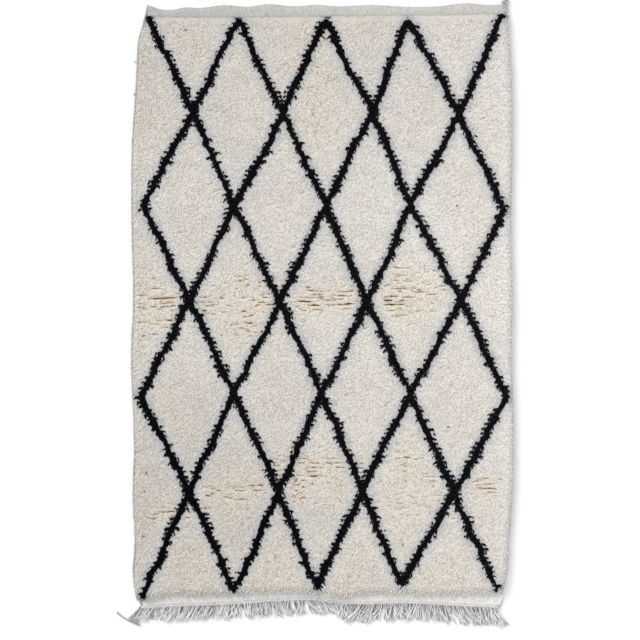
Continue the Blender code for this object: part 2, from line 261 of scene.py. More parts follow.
# Patches of small creases and of yellower wool: middle, half sizes, how many creases, their depth,
# and how far they turn from lying across the rug, in degrees
CREASE_PATCHES = np.array([
    (-0.300, -0.010, 0.110, 0.110, 46, 0.40, 0.0),
    (-0.640, 0.000, 0.100, 0.110, 26, 0.35, 0.0),
    (0.010, 0.030, 0.130, 0.050, 24, 0.40, 0.0),
    (0.340, 0.060, 0.150, 0.100, 44, 0.40, 0.0),
    (-0.630, -0.832, 0.070, 0.030, 10, 0.35, 0.0),
    (-0.350, -0.760, 0.130, 0.060, 30, 0.35, 0.0),
    (-0.070, -0.640, 0.110, 0.050, 20, 0.35, 0.0),
    (-0.095, -0.740, 0.030, 0.050, 14, 0.50, 40.0),
    (0.050, -0.760, 0.030, 0.080, 14, 0.30, 100.0),
    (0.340, -0.620, 0.060, 0.050, 10, 0.30, 0.0),
    (0.360, -0.790, 0.120, 0.050, 34, 0.25, 0.0),
    (0.640, -0.720, 0.070, 0.040, 14, 0.30, 0.0),
    (-0.060, 0.860, 0.080, 0.240, 60, 0.28, 90.0),
    (0.060, -1.020, 0.500, 0.090, 50, 0.22, 70.0),
    (0.000, 0.000, 0.700, 1.100, 260, 0.22, 20.0),
], dtype=[("across", float), ("along", float), ("half_across", float), ("half_along", float),
          ("count", int), ("depth", float), ("turn", float)])

# How the fringe hangs: the sideways lean of a strand's tip, and the strands' length
FRINGE = np.array([
    (-0.728, -0.040, 0.052),
    (-0.640, -0.018, 0.058),
    (-0.500, -0.030, 0.064),
    (-0.360, -0.006, 0.064),
    (-0.200, 0.002, 0.064),
    (-0.060, 0.028, 0.060),
    (0.040, 0.036, 0.058),
    (0.120, -0.024, 0.074),
    (0.260, -0.008, 0.072),
    (0.420, 0.010, 0.072),
    (0.520, 0.040, 0.076),
    (0.620, 0.030, 0.076),
    (0.702, 0.022, 0.078),
], dtype=[("across", float), ("lean", float), ("length", float)])

# The loose cord across the tips of the first strands, from its outer end to its inner end
CORNER_CORD = np.array([
    (-0.824, -1.224),
    (-0.808, -1.238),
    (-0.790, -1.250),
    (-0.774, -1.259),
    (-0.754, -1.268),
    (-0.733, -1.276),
], dtype=END_COLUMNS)

# ---------------------------------------------------------------- helpers for shapes


def smooth_through(knots, values, at):
    """Cubic through every knot, with each knot's slope taken from its two neighbours."""
    slopes = np.gradient(values, knots)
    cell = np.clip(np.searchsorted(knots, at, side="right") - 1, 0, len(knots) - 2)
    span = knots[cell + 1] - knots[cell]
    part = np.clip((at - knots[cell]) / span, 0.0, 1.0)
    rest = 1.0 - part
    start = values[cell] * (1.0 + 2.0 * part) * rest ** 2
    end = values[cell + 1] * (1.0 + 2.0 * rest) * part ** 2
    bend = span * part * rest * (slopes[cell] * rest - slopes[cell + 1] * part)
    return start + end + bend


def side_at(table, along):
    """Where a side of the rug lies across it, for places along it."""
    return smooth_through(table["along"], table["across"], along)


def end_at(table, across):
    """Where an end of the rug, or of its pile, lies along it, for places across it."""
    return smooth_through(table["across"], table["along"], across)


def between(low, high, share):
    """The point a share of the way from low to high."""
    return low + (high - low) * share


def quarter_round(distance, radius):
    """Height of a quarter circle, from 0 at the edge to 1 at the radius and beyond."""
    part = np.clip(distance / radius, 0.0, 1.0)
    return np.sqrt(1.0 - (1.0 - part) ** 2)


def soft_noise(x, y, size, seed):
    """Smooth hills between -1 and 1: random heights on a grid of the given spacing, with the cubic
    3t^2 - 2t^3 between neighbours."""
    heights = np.random.default_rng([SEED, seed]).uniform(-1.0, 1.0, (128, 128))
    u = x / size + 64.0
    v = y / size + 64.0
    column = np.floor(u).astype(int)
    row = np.floor(v).astype(int)
    s = u - column
    t = v - row
    s = s * s * (3.0 - 2.0 * s)
    t = t * t * (3.0 - 2.0 * t)
    near = between(heights[row % 128, column % 128], heights[row % 128, (column + 1) % 128], s)
    far = between(heights[(row + 1) % 128, column % 128], heights[(row + 1) % 128, (column + 1) % 128], s)
    return between(near, far, t)


def grid_faces(rows, columns, closed=False):
    """Corner numbers of a grid's faces, points numbered row by row; closed joins the last column
    to the first."""
    steps = columns if closed else columns - 1
    row = np.arange(rows - 1)[:, None] * columns
    here = np.arange(steps)[None, :]
    beyond = (here + 1) % columns
    corners = np.stack([row + here, row + beyond, row + columns + beyond, row + columns + here], axis=-1)
    return corners.reshape(-1, 4)


def rim_of(shape):
    """Point numbers once round a grid's outline, points numbered row by row."""
    numbers = np.arange(shape[0] * shape[1]).reshape(shape)
    return np.concatenate([numbers[0, :-1], numbers[:-1, -1], numbers[-1, :0:-1], numbers[:0:-1, 0]])


def plan_shift():
    """How far the rug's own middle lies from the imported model's origin, from its top left corner."""
    low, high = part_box("pile_rug")
    left = side_at(LEFT_SIDE, np.linspace(-1.2, 1.2, 2000)).min()
    top = RIGHT_SIDE["along"].max()
    return np.array([low[0] - left, high[1] - top, 0.0])


SHIFT = plan_shift()


def add_piece(name, points, faces, material, slot, smooth=True, **attributes):
    """A mesh from arrays: points on the rug's plan, lists of faces, and one number for each point
    under each attribute's name. A planar map of the whole rug, named OFBake, goes with it."""
    faces = faces if isinstance(faces, list) else [faces]
    loops = np.concatenate([part.ravel() for part in faces]).astype(np.int32)
    sizes = np.concatenate([np.full(len(part), part.shape[1]) for part in faces]).astype(np.int32)
    starts = np.concatenate([[0], np.cumsum(sizes)[:-1]]).astype(np.int32)
    mesh = bpy.data.meshes.new(name)
    mesh.vertices.add(len(points))
    mesh.vertices.foreach_set("co", (points + SHIFT).astype(np.float32).ravel())
    mesh.loops.add(len(loops))
    mesh.loops.foreach_set("vertex_index", loops)
    mesh.polygons.add(len(sizes))
    mesh.polygons.foreach_set("loop_start", starts)
    mesh.polygons.foreach_set("use_smooth", np.full(len(sizes), smooth))
    mesh.update(calc_edges=True)
    for label, values in attributes.items():
        layer = mesh.attributes.new(label, "FLOAT", "POINT")
        layer.data.foreach_set("value", np.asarray(values, dtype=np.float32).ravel())
    plan = mesh.uv_layers.new(name="OFBake")
    corner = points[loops]
    uv = corner[:, :2] / MAP_SIZE + 0.5 + corner[:, 2:] * 0.05
    plan.data.foreach_set("uv", uv.astype(np.float32).ravel())
    mesh.materials.append(material)
    piece = bpy.data.objects.new(name, mesh)
    bpy.context.scene.collection.objects.link(piece)
    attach(piece, "root")
    return piece


def tubes(paths, radii, sides, flatten=1.0):
    """Tubes along many paths at once: paths is (tubes, stations, 3), radii (tubes, stations).

    Each station's ring is centre + radius * (cos a * side + sin a * up), where side is level and
    square to the path and up is square to both. Both ends close on one middle point.
    """
    count, stations = paths.shape[:2]
    heading = np.gradient(paths, axis=1)
    heading /= np.linalg.norm(heading, axis=2, keepdims=True)
    side = np.stack([-heading[..., 1], heading[..., 0], np.zeros((count, stations))], axis=-1)
    side /= np.maximum(np.linalg.norm(side, axis=2, keepdims=True), 1e-6)
    up = np.cross(heading, side)
    angle = np.arange(sides) * (2.0 * np.pi / sides)
    ring = side[:, :, None] * np.cos(angle)[:, None] + up[:, :, None] * (np.sin(angle)[:, None] * flatten)
    rings = paths[:, :, None] + ring * radii[:, :, None, None]
    ends = paths[:, [0, -1]]
    points = np.concatenate([rings.reshape(count, -1, 3), ends], axis=1)
    per_tube = points.shape[1]
    walls = grid_faces(stations, sides, closed=True)[:, ::-1]
    here = np.arange(sides)
    beyond = (here + 1) % sides
    first_cap = np.stack([here, beyond, np.full(sides, per_tube - 2)], axis=1)
    last_ring = (stations - 1) * sides
    last_cap = np.stack([last_ring + beyond, last_ring + here, np.full(sides, per_tube - 1)], axis=1)
    offsets = (np.arange(count) * per_tube)[:, None, None]
    walls = (walls[None] + offsets).reshape(-1, 4)
    caps = (np.concatenate([first_cap, last_cap])[None] + offsets).reshape(-1, 3)
    return points.reshape(-1, 3), [walls, caps]


def add_yarns(name, paths, radii, sides, material, tones, axis=1, turning=0.0, flatten=1.0,
              slot="warp_wool"):
    """Yarns as tubes, each with its own tone. The angle of their plies grows with the place across
    the rug (axis 0) or along it (axis 1), by the turning in radians a metre."""
    points, faces = tubes(paths, np.broadcast_to(radii, paths.shape[:2]), sides, flatten)
    tone = np.repeat(np.broadcast_to(tones, len(paths)), len(points) // len(paths))
    return add_piece(name, points, faces, material, slot, tone=tone, twist=points[:, axis] * turning)


# ---------------------------------------------------------------- the rug's plan and surface


def inside_sides(x, y):
    """Distance in from the nearer side of the rug."""
    return np.minimum(x - side_at(LEFT_SIDE, y), side_at(RIGHT_SIDE, y) - x)


def lattice_distance(x, y):
    """Distance from the nearest of the lattice's lines, which wander a few millimetres."""
    starts = []
    ends = []
    for upper, lower in zip(LATTICE_ROWS[:-1], LATTICE_ROWS[1:]):
        offset = 0 if len(lower) > len(upper) else -1
        for number, crossing in enumerate(upper):
            for neighbour in (number + offset, number + offset + 1):
                if 0 <= neighbour < len(lower):
                    starts.append(crossing)
                    ends.append(lower[neighbour])
    starts = np.array(starts)
    runs = np.array(ends) - starts
    wander_x = 0.0060 * soft_noise(x, y, 0.08, 11) + 0.0062 * soft_noise(0.3 * x, y, 0.019, 13)
    wander_y = 0.0045 * soft_noise(x, y, 0.09, 12)
    places = np.stack([x + wander_x, y + wander_y], axis=-1).reshape(-1, 1, 2)
    nearest = np.full(len(places), np.inf)
    for group in range(0, len(starts), 8):
        start = starts[group:group + 8]
        run = runs[group:group + 8]
        away = places - start
        share = np.clip((away * run).sum(-1) / (run * run).sum(-1), 0.0, 1.0)
        gap = np.linalg.norm(away - run * share[..., None], axis=-1)
        nearest = np.minimum(nearest, gap.min(axis=1))
    return nearest.reshape(np.shape(x))


def warm_patches(x, y):
    """How yellow the wool is, from 0 to 1: most where the pile is parted, and soft clouds."""
    warmth = 0.22 + 0.16 * soft_noise(x, y, 0.21, 21) + 0.10 * soft_noise(x, y, 0.07, 22)
    for patch in CREASE_PATCHES[:-1]:
        across = (x - patch["across"]) / (patch["half_across"] * 1.25)
        along = (y - patch["along"]) / (patch["half_along"] * 1.35)
        warmth = warmth + 0.85 * patch["depth"] * np.exp(-across ** 2 - along ** 2)
    return np.clip(warmth, 0.0, 1.0)


def pile_top(x, y, from_side, from_end):
    """Height of the tips: full over the field, rounded down at the sides and ends, gently uneven."""
    side = SIDE_HEIGHT + (PILE_HEIGHT - SIDE_HEIGHT) * quarter_round(from_side, SIDE_ROUND)
    waves = 0.0007 * soft_noise(x, y, 0.16, 31) + 0.0006 * soft_noise(x, y, 0.045, 32)
    rise = quarter_round(from_end + 0.004, END_ROUND)
    return between(WEAVE_THICKNESS + 0.003, side + waves, rise)


def pile_place(row_share, knot_share, inset):
    """Plan place of a share of the way up the pile and across it, with the distances to its side
    and to its nearer end. Rows of knots follow both ends of the pile."""
    nominal = between(-1.150, 1.163, row_share)
    left = side_at(LEFT_SIDE, nominal) + inset
    right = side_at(RIGHT_SIDE, nominal) - inset
    x = between(left, right, knot_share)
    bottom = end_at(PILE_BOTTOM, x)
    top = end_at(PILE_TOP, x)
    y = between(bottom, top, row_share)
    wave = 0.0016 * soft_noise(x, y, 0.10, 41)
    y = y + wave * np.clip(np.minimum(row_share, 1.0 - row_share) * KNOT_ROWS, 0.0, 1.0)
    from_side = np.minimum(x - left, right - x)
    from_end = np.minimum(y - bottom, top - y)
    return x, y, from_side, from_end


def line_share(x, y):
    """How much of their width the black lines keep: less at the inner points by the plain end, and
    a little less at the fringe."""
    inner = 0.60 * (np.abs(x) < 0.5)
    return 1.0 - inner * np.clip((y - 1.125) / 0.04, 0.0, 1.0) - 0.15 * np.clip((-1.06 - y) / 0.06, 0.0, 1.0)


def line_half_width(x, y):
    """Half the width of the black lines, a little uneven."""
    return line_share(x, y) * (LINE_HALF_WIDTH + 0.0034 * soft_noise(x, y, 0.024, 71))


def wool_tone_and_light(x, y):
    """How light the wool is, from 0 to 1: painted light that grows to the right and towards half way
    up; lighter still to the right of the middle and darker at the lower left, with soft clouds."""
    middle = np.exp(-((y - 0.12) / 0.68) ** 2)
    low_left = np.exp(-((x + 0.46) / 0.34) ** 2 - ((y + 0.80) / 0.40) ** 2)
    right_middle = np.exp(-((x - 0.36) / 0.22) ** 2 - ((y - 0.22) / 0.24) ** 2)
    clouds = 0.09 * soft_noise(x, y, 0.16, 73) + 0.06 * soft_noise(x, y, 0.05, 74)
    # The slope to the right and the rise half way up are painted light
    return 0.33 + 0.24 * x / 0.76 + 0.27 * middle - 0.23 * low_left + 0.12 * right_middle + clouds


def soiled(x, y):
    """How much darker the wool is painted, from 0 to 1, as shade: most in the first rows at the plain
    end and along the left side; less, as painted light, by the fringe and at the right side."""
    from_top = np.maximum(end_at(PILE_TOP, np.clip(x, -0.716, 0.742)) - y, 0.0)
    from_left = np.maximum(x - side_at(LEFT_SIDE, y), 0.0)
    from_bottom = np.maximum(y - end_at(PILE_BOTTOM, np.clip(x, -0.74, 0.72)), 0.0)
    # Painted shade in the first rows by the plain end and along the left side, painted light at the fringe
    # end of the pile and at the right side, and a little random tone
    soil = 0.30 * np.exp(-(from_top / 0.020) ** 2) - 0.12 * np.exp(-(from_bottom / 0.018) ** 2)
    soil = soil + 0.16 * np.exp(-from_left / 0.020)
    return soil - 0.07 * right_side_lit(x, y) + 0.015 * soft_noise(x, y, 0.03, 75)


def right_side_lit(x, y):
    """From 1 at the right side to 0 further in, where the wool is painted whiter and cooler, as light."""
    return np.exp(-(np.maximum(side_at(RIGHT_SIDE, y) - x, 0.0) / 0.050) ** 2)


def cooled(x, y, distance):
    """How much cooler the wool is, from 0 to 1: most at the edge of a black line, falling off
    within a few centimetres, and along the right side, where it is painted light."""
    return np.maximum(np.exp(-np.maximum(distance - LINE_HALF_WIDTH, 0.0) / 0.018), 0.45 * right_side_lit(x, y))


def line_shade(distance):
    """How much greyer the cream wool is by a black line, where stray dark fibres and the shade
    between the tufts dull it: most at the edge, gone within three centimetres."""
    return np.minimum(0.40, 0.64 * np.exp(-(distance - LINE_HALF_WIDTH) / 0.0095))


def make_creases():
    """Every parting and crease as arrays: middle, half length, turn and depth. The small ones are
    spread at random over their patches."""
    chance = np.random.default_rng([SEED, 50])
    across, along = [PARTINGS["across"]], [PARTINGS["along"]]
    halves, depths = [PARTINGS["half"]], [PARTINGS["depth"]]
    turns = [chance.normal(0.0, 0.05, len(PARTINGS))]
    for patch in CREASE_PATCHES:
        count = patch["count"]
        across.append(patch["across"] + patch["half_across"] * chance.uniform(-1.0, 1.0, count))
        along.append(patch["along"] + patch["half_along"] * chance.uniform(-1.0, 1.0, count))
        halves.append(chance.uniform(0.004, 0.014, count))
        depths.append(patch["depth"] * chance.uniform(0.5, 1.2, count))
        lean = np.radians(patch["turn"]) * chance.uniform(0.7, 1.2, count)
        turns.append(lean + chance.normal(0.0, 0.12, count))
    return [np.concatenate(values) for values in (across, along, halves, turns, depths)]


CREASES = make_creases()


def crease_paths(s):
    """Plan places along every crease for s from -1 to 1: a straight run with a few millimetres'
    wander to its side."""
    across, along, half, turn = [values[:, None] for values in CREASES[:4]]
    run = half * s
    aside = 0.0016 * soft_noise(across + run, along, 0.013, 51) * np.minimum(half / 0.02, 1.0)
    x = across + run * np.cos(turn) - aside * np.sin(turn)
    y = along + run * np.sin(turn) + aside * np.cos(turn)
    return x, y


def part_strands(x, y, heading_y, reach):
    """Draw strands back from the creases, and say how open the pile is at each.

    A crease keeps a clearance c = (0.8 + 3.2 depth) sqrt(1 - s^2) mm on each side. Where it lies
    across the rug, the ends above it are cut short or set back, and the roots below it are moved
    down. Where it lies along the rug, strands are moved to its nearer side, and 1.2 stands in place
    of 0.8."""
    opened = np.zeros_like(x)
    forward = np.maximum(-heading_y, 0.15)
    for across, along, half, turn, depth in zip(*CREASES):
        middle_y = y - 0.5 * forward * reach
        if abs(turn) > 0.6:
            near = np.flatnonzero((np.abs(middle_y - along) < half) & (np.abs(x - across) < 0.006))
            s = (middle_y[near] - along) / half
            gap = x[near] - across - half * s * np.cos(turn)
            clear = (0.0012 + 0.0032 * depth) * np.sqrt(1.0 - s ** 2)
            x[near] += np.where(gap >= 0.0, 1.0, -1.0) * np.maximum(clear - np.abs(gap), 0.0)
            continue
        near = np.flatnonzero((np.abs(x - across) < half) & (y > along - 0.008) & (y < along + 0.030))
        s = (x[near] - across) / half
        aside = 0.0016 * soft_noise(across + half * s, along, 0.013, 51) * min(half / 0.02, 1.0)
        line = along + half * s * np.sin(turn) + aside
        clear = (0.0008 + 0.0032 * depth) * np.sqrt(1.0 - s ** 2)
        gap = y[near] - line
        above = gap > 0.0
        room = (gap - clear) / forward[near]
        shortest = 0.006
        short = above & (room < shortest)
        y[near] = np.where(short, line + clear + shortest * forward[near], y[near])
        y[near] = np.where(~above & (gap > -clear), line - clear, y[near])
        reach[near] = np.where(above, np.clip(room, shortest, reach[near]), reach[near])
        opened[near] = np.maximum(opened[near], depth * np.exp(-(gap / 0.010) ** 2))
    return x, y, reach, opened


# ---------------------------------------------------------------- materials


def put(tree, kind, sockets=None, **settings):
    """Add a node with its settings, and fill or link its inputs."""
    node = tree.nodes.new(kind)
    for name, value in settings.items():
        setattr(node, name, value)
    for key, value in (sockets or {}).items():
        if isinstance(value, bpy.types.NodeSocket):
            tree.links.new(value, node.inputs[key])
        else:
            node.inputs[key].default_value = value
    return node


def mix_colour(tree, share, first, second, blend="MIX"):
    """A colour mix node; share is how much of the second shows."""
    node = put(tree, "ShaderNodeMix", {0: share, 6: first, 7: second}, data_type="RGBA", blend_type=blend)
    return node.outputs[2]


def math(tree, operation, first, second=0.0, third=0.0):
    """A math node's result."""
    return put(tree, "ShaderNodeMath", {0: first, 1: second, 2: third}, operation=operation).outputs[0]


def ranged(tree, value, low, high, to_low=0.0, to_high=1.0):
    """A value carried from the span low to high to the span to_low to to_high, held at both ends."""
    return put(tree, "ShaderNodeMapRange", {"Value": value, "From Min": low, "From Max": high,
                                            "To Min": to_low, "To Max": to_high}).outputs[0]


def noise(tree, place, scale, detail=2.0, roughness=0.5, **settings):
    """Soft noise around a half."""
    return put(tree, "ShaderNodeTexNoise", {"Vector": place, "Scale": scale, "Detail": detail,
                                            "Roughness": roughness}, **settings).outputs[0]


def attribute(tree, name):
    """The value of a named number on the mesh."""
    return put(tree, "ShaderNodeAttribute", attribute_name=name).outputs["Fac"]


def shaded(tree, colour, shade):
    """A colour times a number that varies over the surface."""
    grey = put(tree, "ShaderNodeCombineColor", {0: shade, 1: shade, 2: shade}).outputs[0]
    return mix_colour(tree, 1.0, colour, grey, blend="MULTIPLY")


def new_group(name, inputs, outputs):
    """An empty shader node group with named sockets: inputs as (name, kind, value)."""
    group = bpy.data.node_groups.new(name, "ShaderNodeTree")
    for label, kind, value in inputs:
        socket = group.interface.new_socket(label, in_out="INPUT", socket_type=kind)
        if value is not None:
            socket.default_value = value
    for label, kind in outputs:
        group.interface.new_socket(label, in_out="OUTPUT", socket_type=kind)
    entry = group.nodes.new("NodeGroupInput")
    exit_node = group.nodes.new("NodeGroupOutput")
    return group, entry.outputs, exit_node.inputs


def fibre_group():
    """Matted fibres: fine streaks and soft clouds, as a shade around 1 and a height."""
    group, given, wanted = new_group(
        "matted_fibres",
        [("Place", "NodeSocketVector", None), ("Fineness", "NodeSocketFloat", 600.0),
         ("Contrast", "NodeSocketFloat", 0.15)],
        [("Shade", "NodeSocketFloat"), ("Height", "NodeSocketFloat")],
    )
    fine = noise(group, given["Place"], given["Fineness"], roughness=0.6)
    coarse = noise(group, given["Place"], math(group, "MULTIPLY", given["Fineness"], 0.13))
    both = math(group, "ADD", fine, coarse)
    centred = math(group, "SUBTRACT", both, 1.0)
    group.links.new(math(group, "MULTIPLY_ADD", centred, given["Contrast"], 1.0), wanted["Shade"])
    group.links.new(both, wanted["Height"])
    return group


def opening_group():
    """Painted shade in small openings between the tufts: round spots a few millimetres across, some of
    them at each of a net of random places, as a shade from 1 down."""
    group, given, wanted = new_group(
        "pile_openings",
        [("Place", "NodeSocketVector", None), ("Darkness", "NodeSocketFloat", 0.3)],
        [("Shade", "NodeSocketFloat")],
    )
    spots = put(group, "ShaderNodeTexVoronoi", {"Vector": given["Place"], "Scale": 80.0},
                voronoi_dimensions="2D")
    strength = noise(group, given["Place"], 55.0, detail=1.0, noise_dimensions="2D")
    inside = ranged(group, spots.outputs["Distance"], 0.34, 0.12)
    mask = math(group, "MULTIPLY", inside, ranged(group, strength, 0.42, 0.66))
    dark = math(group, "MULTIPLY", mask, given["Darkness"])
    group.links.new(math(group, "SUBTRACT", 1.0, dark), wanted["Shade"])
    return group


def streak_group():
    """Fibres drawn along a strand: noise stretched along it, told apart by the strand's number."""
    group, given, wanted = new_group(
        "strand_streaks",
        [(name, "NodeSocketFloat", 0.0) for name in ("Across", "Along", "Strand")],
        [("Streak", "NodeSocketFloat")],
    )
    place = put(group, "ShaderNodeCombineXYZ", {0: math(group, "MULTIPLY", given["Across"], 2.6),
                                                1: math(group, "MULTIPLY", given["Along"], 1.3),
                                                2: math(group, "MULTIPLY", given["Strand"], 90.0)})
    drawn = put(group, "ShaderNodeTexNoise", {"Vector": place.outputs[0], "Scale": 1.4, "Detail": 2.0,
                                              "Roughness": 0.65, "Distortion": 0.35})
    group.links.new(drawn.outputs[0], wanted["Streak"])
    return group


def grained(tree, colour, fibres, place, fineness, contrast):
    """A colour shaded by matted fibres, and the fibres' height."""
    sockets = {"Place": place, "Fineness": fineness, "Contrast": contrast}
    grain = put(tree, "ShaderNodeGroup", sockets, node_tree=fibres)
    return shaded(tree, colour, grain.outputs["Shade"]), grain.outputs["Height"]


def opened_up(tree, colour, openings, place, darkness):
    """A colour darkened at the spots, painted shade in the openings between the tufts."""
    node = put(tree, "ShaderNodeGroup", {"Place": place, "Darkness": darkness}, node_tree=openings)
    return shaded(tree, colour, node.outputs["Shade"])


def streaks(tree, group):
    """The streak of a strand piece, from its own numbers."""
    sockets = {name.capitalize(): attribute(tree, name) for name in ("across", "along", "strand")}
    return put(tree, "ShaderNodeGroup", sockets, node_tree=group).outputs["Streak"]


def wool_material(name, roughness, sheen, gloss=0.15):
    """A Principled material with its tree, shader and object coordinates ready."""
    material = bpy.data.materials.new(name)
    material.use_nodes = True
    tree = material.node_tree
    shader = tree.nodes["Principled BSDF"]
    shader.inputs["Roughness"].default_value = roughness
    shader.inputs["Specular IOR Level"].default_value = gloss
    shader.inputs["Sheen Weight"].default_value = sheen
    shader.inputs["Sheen Roughness"].default_value = 0.6
    place = tree.nodes.new("ShaderNodeTexCoord").outputs["Object"]
    return material, tree, shader, place


def finish_wool(tree, shader, colour, height, strength, distance):
    """Give the shader its colour, and a bump from the height."""
    bump = put(tree, "ShaderNodeBump", {"Strength": strength, "Distance": distance, "Height": height})
    tree.links.new(colour, shader.inputs["Base Color"])
    tree.links.new(bump.outputs[0], shader.inputs["Normal"])


def cream_wool(fibres, streak, openings):
    """Undyed cream wool: each tuft with its own tone and painted light and shade, yellower where the
    pile is parted, cooler and greyer beside the black lines, and painted shade at its root."""
    material, tree, shader, place = wool_material("cream_pile", 0.92, 0.12)
    colour = mix_colour(tree, attribute(tree, "tone"), STRAND_DULL, STRAND_BRIGHT)
    colour = mix_colour(tree, attribute(tree, "warmth"), colour, STRAND_YELLOW)
    colour = mix_colour(tree, attribute(tree, "beside_line"), colour, STRAND_COOL)
    # Painted shade at the roots, by the depth
    colour = mix_colour(tree, attribute(tree, "depth"), colour, STRAND_ROOT_SHADE)
    # Painted light and shade from the ends, the sides and beside the lines
    colour = shaded(tree, colour, math(tree, "SUBTRACT", 1.0, attribute(tree, "soil")))
    colour, grain = grained(tree, colour, fibres, place, 420.0, 0.05)
    colour = opened_up(tree, colour, openings, place, 0.09)
    streak_height = streaks(tree, streak)
    colour = shaded(tree, colour, math(tree, "MULTIPLY_ADD", streak_height, 0.08, 0.96))
    height = math(tree, "MULTIPLY_ADD", grain, 0.4, streak_height)
    finish_wool(tree, shader, colour, height, 0.13, 0.0012)
    return material


def black_wool(fibres, streak):
    """Near-black wool, faintly blue, some tufts a little browner."""
    material, tree, shader, place = wool_material("black_pile", 0.9, 0.0, gloss=0.03)
    colour = mix_colour(tree, attribute(tree, "tone"), BLACK_DEEP, BLACK_FADED)
    colour, grain = grained(tree, colour, fibres, place, 600.0, 0.5)
    streak_height = streaks(tree, streak)
    colour = shaded(tree, colour, math(tree, "MULTIPLY_ADD", streak_height, 1.2, 0.4))
    height = math(tree, "MULTIPLY_ADD", grain, 0.4, streak_height)
    finish_wool(tree, shader, colour, height, 0.6, 0.0014)
    return material


def bed_wool(fibres, openings):
    """The felted lower pile: cream or black by the distance from the lattice, cooler beside it, tan
    and then painted shade in partings; its colours painted darker than the tips', as shade under them."""
    material, tree, shader, place = wool_material("pile_bed", 0.95, 0.0, gloss=0.02)
    cream = mix_colour(tree, attribute(tree, "tone"), BED_DULL, BED_BRIGHT)
    cream = mix_colour(tree, attribute(tree, "warmth"), cream, BED_YELLOW)
    cream = mix_colour(tree, attribute(tree, "beside_line"), cream, BED_COOL)
    depth = attribute(tree, "depth")
    # The partings' rims are tan and partly painted shade, their floors painted shade
    cream = mix_colour(tree, ranged(tree, depth, 0.0, 0.5), cream, CREASE_TAN)
    cream = mix_colour(tree, ranged(tree, depth, 0.30, 0.85), cream, CREASE_FLOOR_SHADE)
    cream = opened_up(tree, cream, openings, place, 0.12)
    # Painted light and shade from the ends, the sides and beside the lines
    cream = shaded(tree, cream, math(tree, "SUBTRACT", 1.0, attribute(tree, "soil")))
    gap = attribute(tree, "line_distance")
    black = ranged(tree, gap, LINE_HALF_WIDTH - 0.0005, LINE_HALF_WIDTH - 0.0045)
    colour = mix_colour(tree, black, cream, BED_BLACK)
    colour, grain = grained(tree, colour, fibres, place, 500.0, 0.10)
    finish_wool(tree, shader, colour, grain, 0.4, 0.0020)
    return material


def weave_material(fibres, openings):
    """Weft-faced ground weave in greyish white; the lattice's knots show on its underside."""
    material, tree, shader, place = wool_material("ground_weave", 0.9, 0.1)
    across, along = put(tree, "ShaderNodeSeparateXYZ", {0: place}).outputs[:2]
    weft = math(tree, "SINE", math(tree, "MULTIPLY", along, 2.0 * np.pi / WEFT_PITCH))
    warp = math(tree, "SINE", math(tree, "MULTIPLY", across, 2.0 * np.pi / WARP_PITCH))
    ribs = math(tree, "MULTIPLY_ADD", math(tree, "MULTIPLY", weft, warp), 0.5, 0.5)
    knot_row = math(tree, "COSINE", math(tree, "MULTIPLY", along, 2.0 * np.pi / KNOT_ROW_PITCH))
    knots = math(tree, "MULTIPLY", attribute(tree, "underside"), ranged(tree, knot_row, 0.1, 0.5))
    gap = attribute(tree, "line_distance")
    near = ranged(tree, gap, LINE_HALF_WIDTH + 0.003, LINE_HALF_WIDTH - 0.002)
    colour = mix_colour(tree, knots, WEAVE_GREY, UNDER_CREAM)
    colour = mix_colour(tree, math(tree, "MULTIPLY", knots, near), colour, UNDER_BLACK)
    colour, grain = grained(tree, colour, fibres, place, 420.0, 0.10)
    # The weave's painted light and shade, from its shade numbers
    colour = shaded(tree, colour, attribute(tree, "shade"))
    mottle = noise(tree, place, 110.0, detail=4.0, roughness=0.75)
    colour = shaded(tree, colour, ranged(tree, mottle, 0.3, 0.7, 0.82, 1.14))
    # On the weave the same spots darken it in specks
    colour = opened_up(tree, colour, openings, place, 0.30)
    height = math(tree, "ADD", math(tree, "MULTIPLY", ribs, 0.6), grain)
    height = math(tree, "MULTIPLY_ADD", knots, 1.5, height)
    finish_wool(tree, shader, colour, height, 0.5, 0.0008)
    return material


def yarn_material(fibres, name, dark, light):
    """Twisted undyed yarn: fine slanting plies along it, each strand with its own tone."""
    material, tree, shader, place = wool_material(name, 0.85, 0.1)
    colour = mix_colour(tree, attribute(tree, "tone"), dark, light)
    ply = math(tree, "MULTIPLY_ADD", math(tree, "SINE", attribute(tree, "twist")), 0.5, 0.5)
    colour, grain = grained(tree, colour, fibres, place, 900.0, 0.2)
    # The grooves between the plies are painted darker, as shade
    colour = shaded(tree, colour, math(tree, "MULTIPLY_ADD", ply, 0.18, 0.86))
    height = math(tree, "ADD", ply, math(tree, "MULTIPLY", grain, 0.4))
    finish_wool(tree, shader, colour, height, 0.6, 0.0006)
    return material


# ---------------------------------------------------------------- pieces


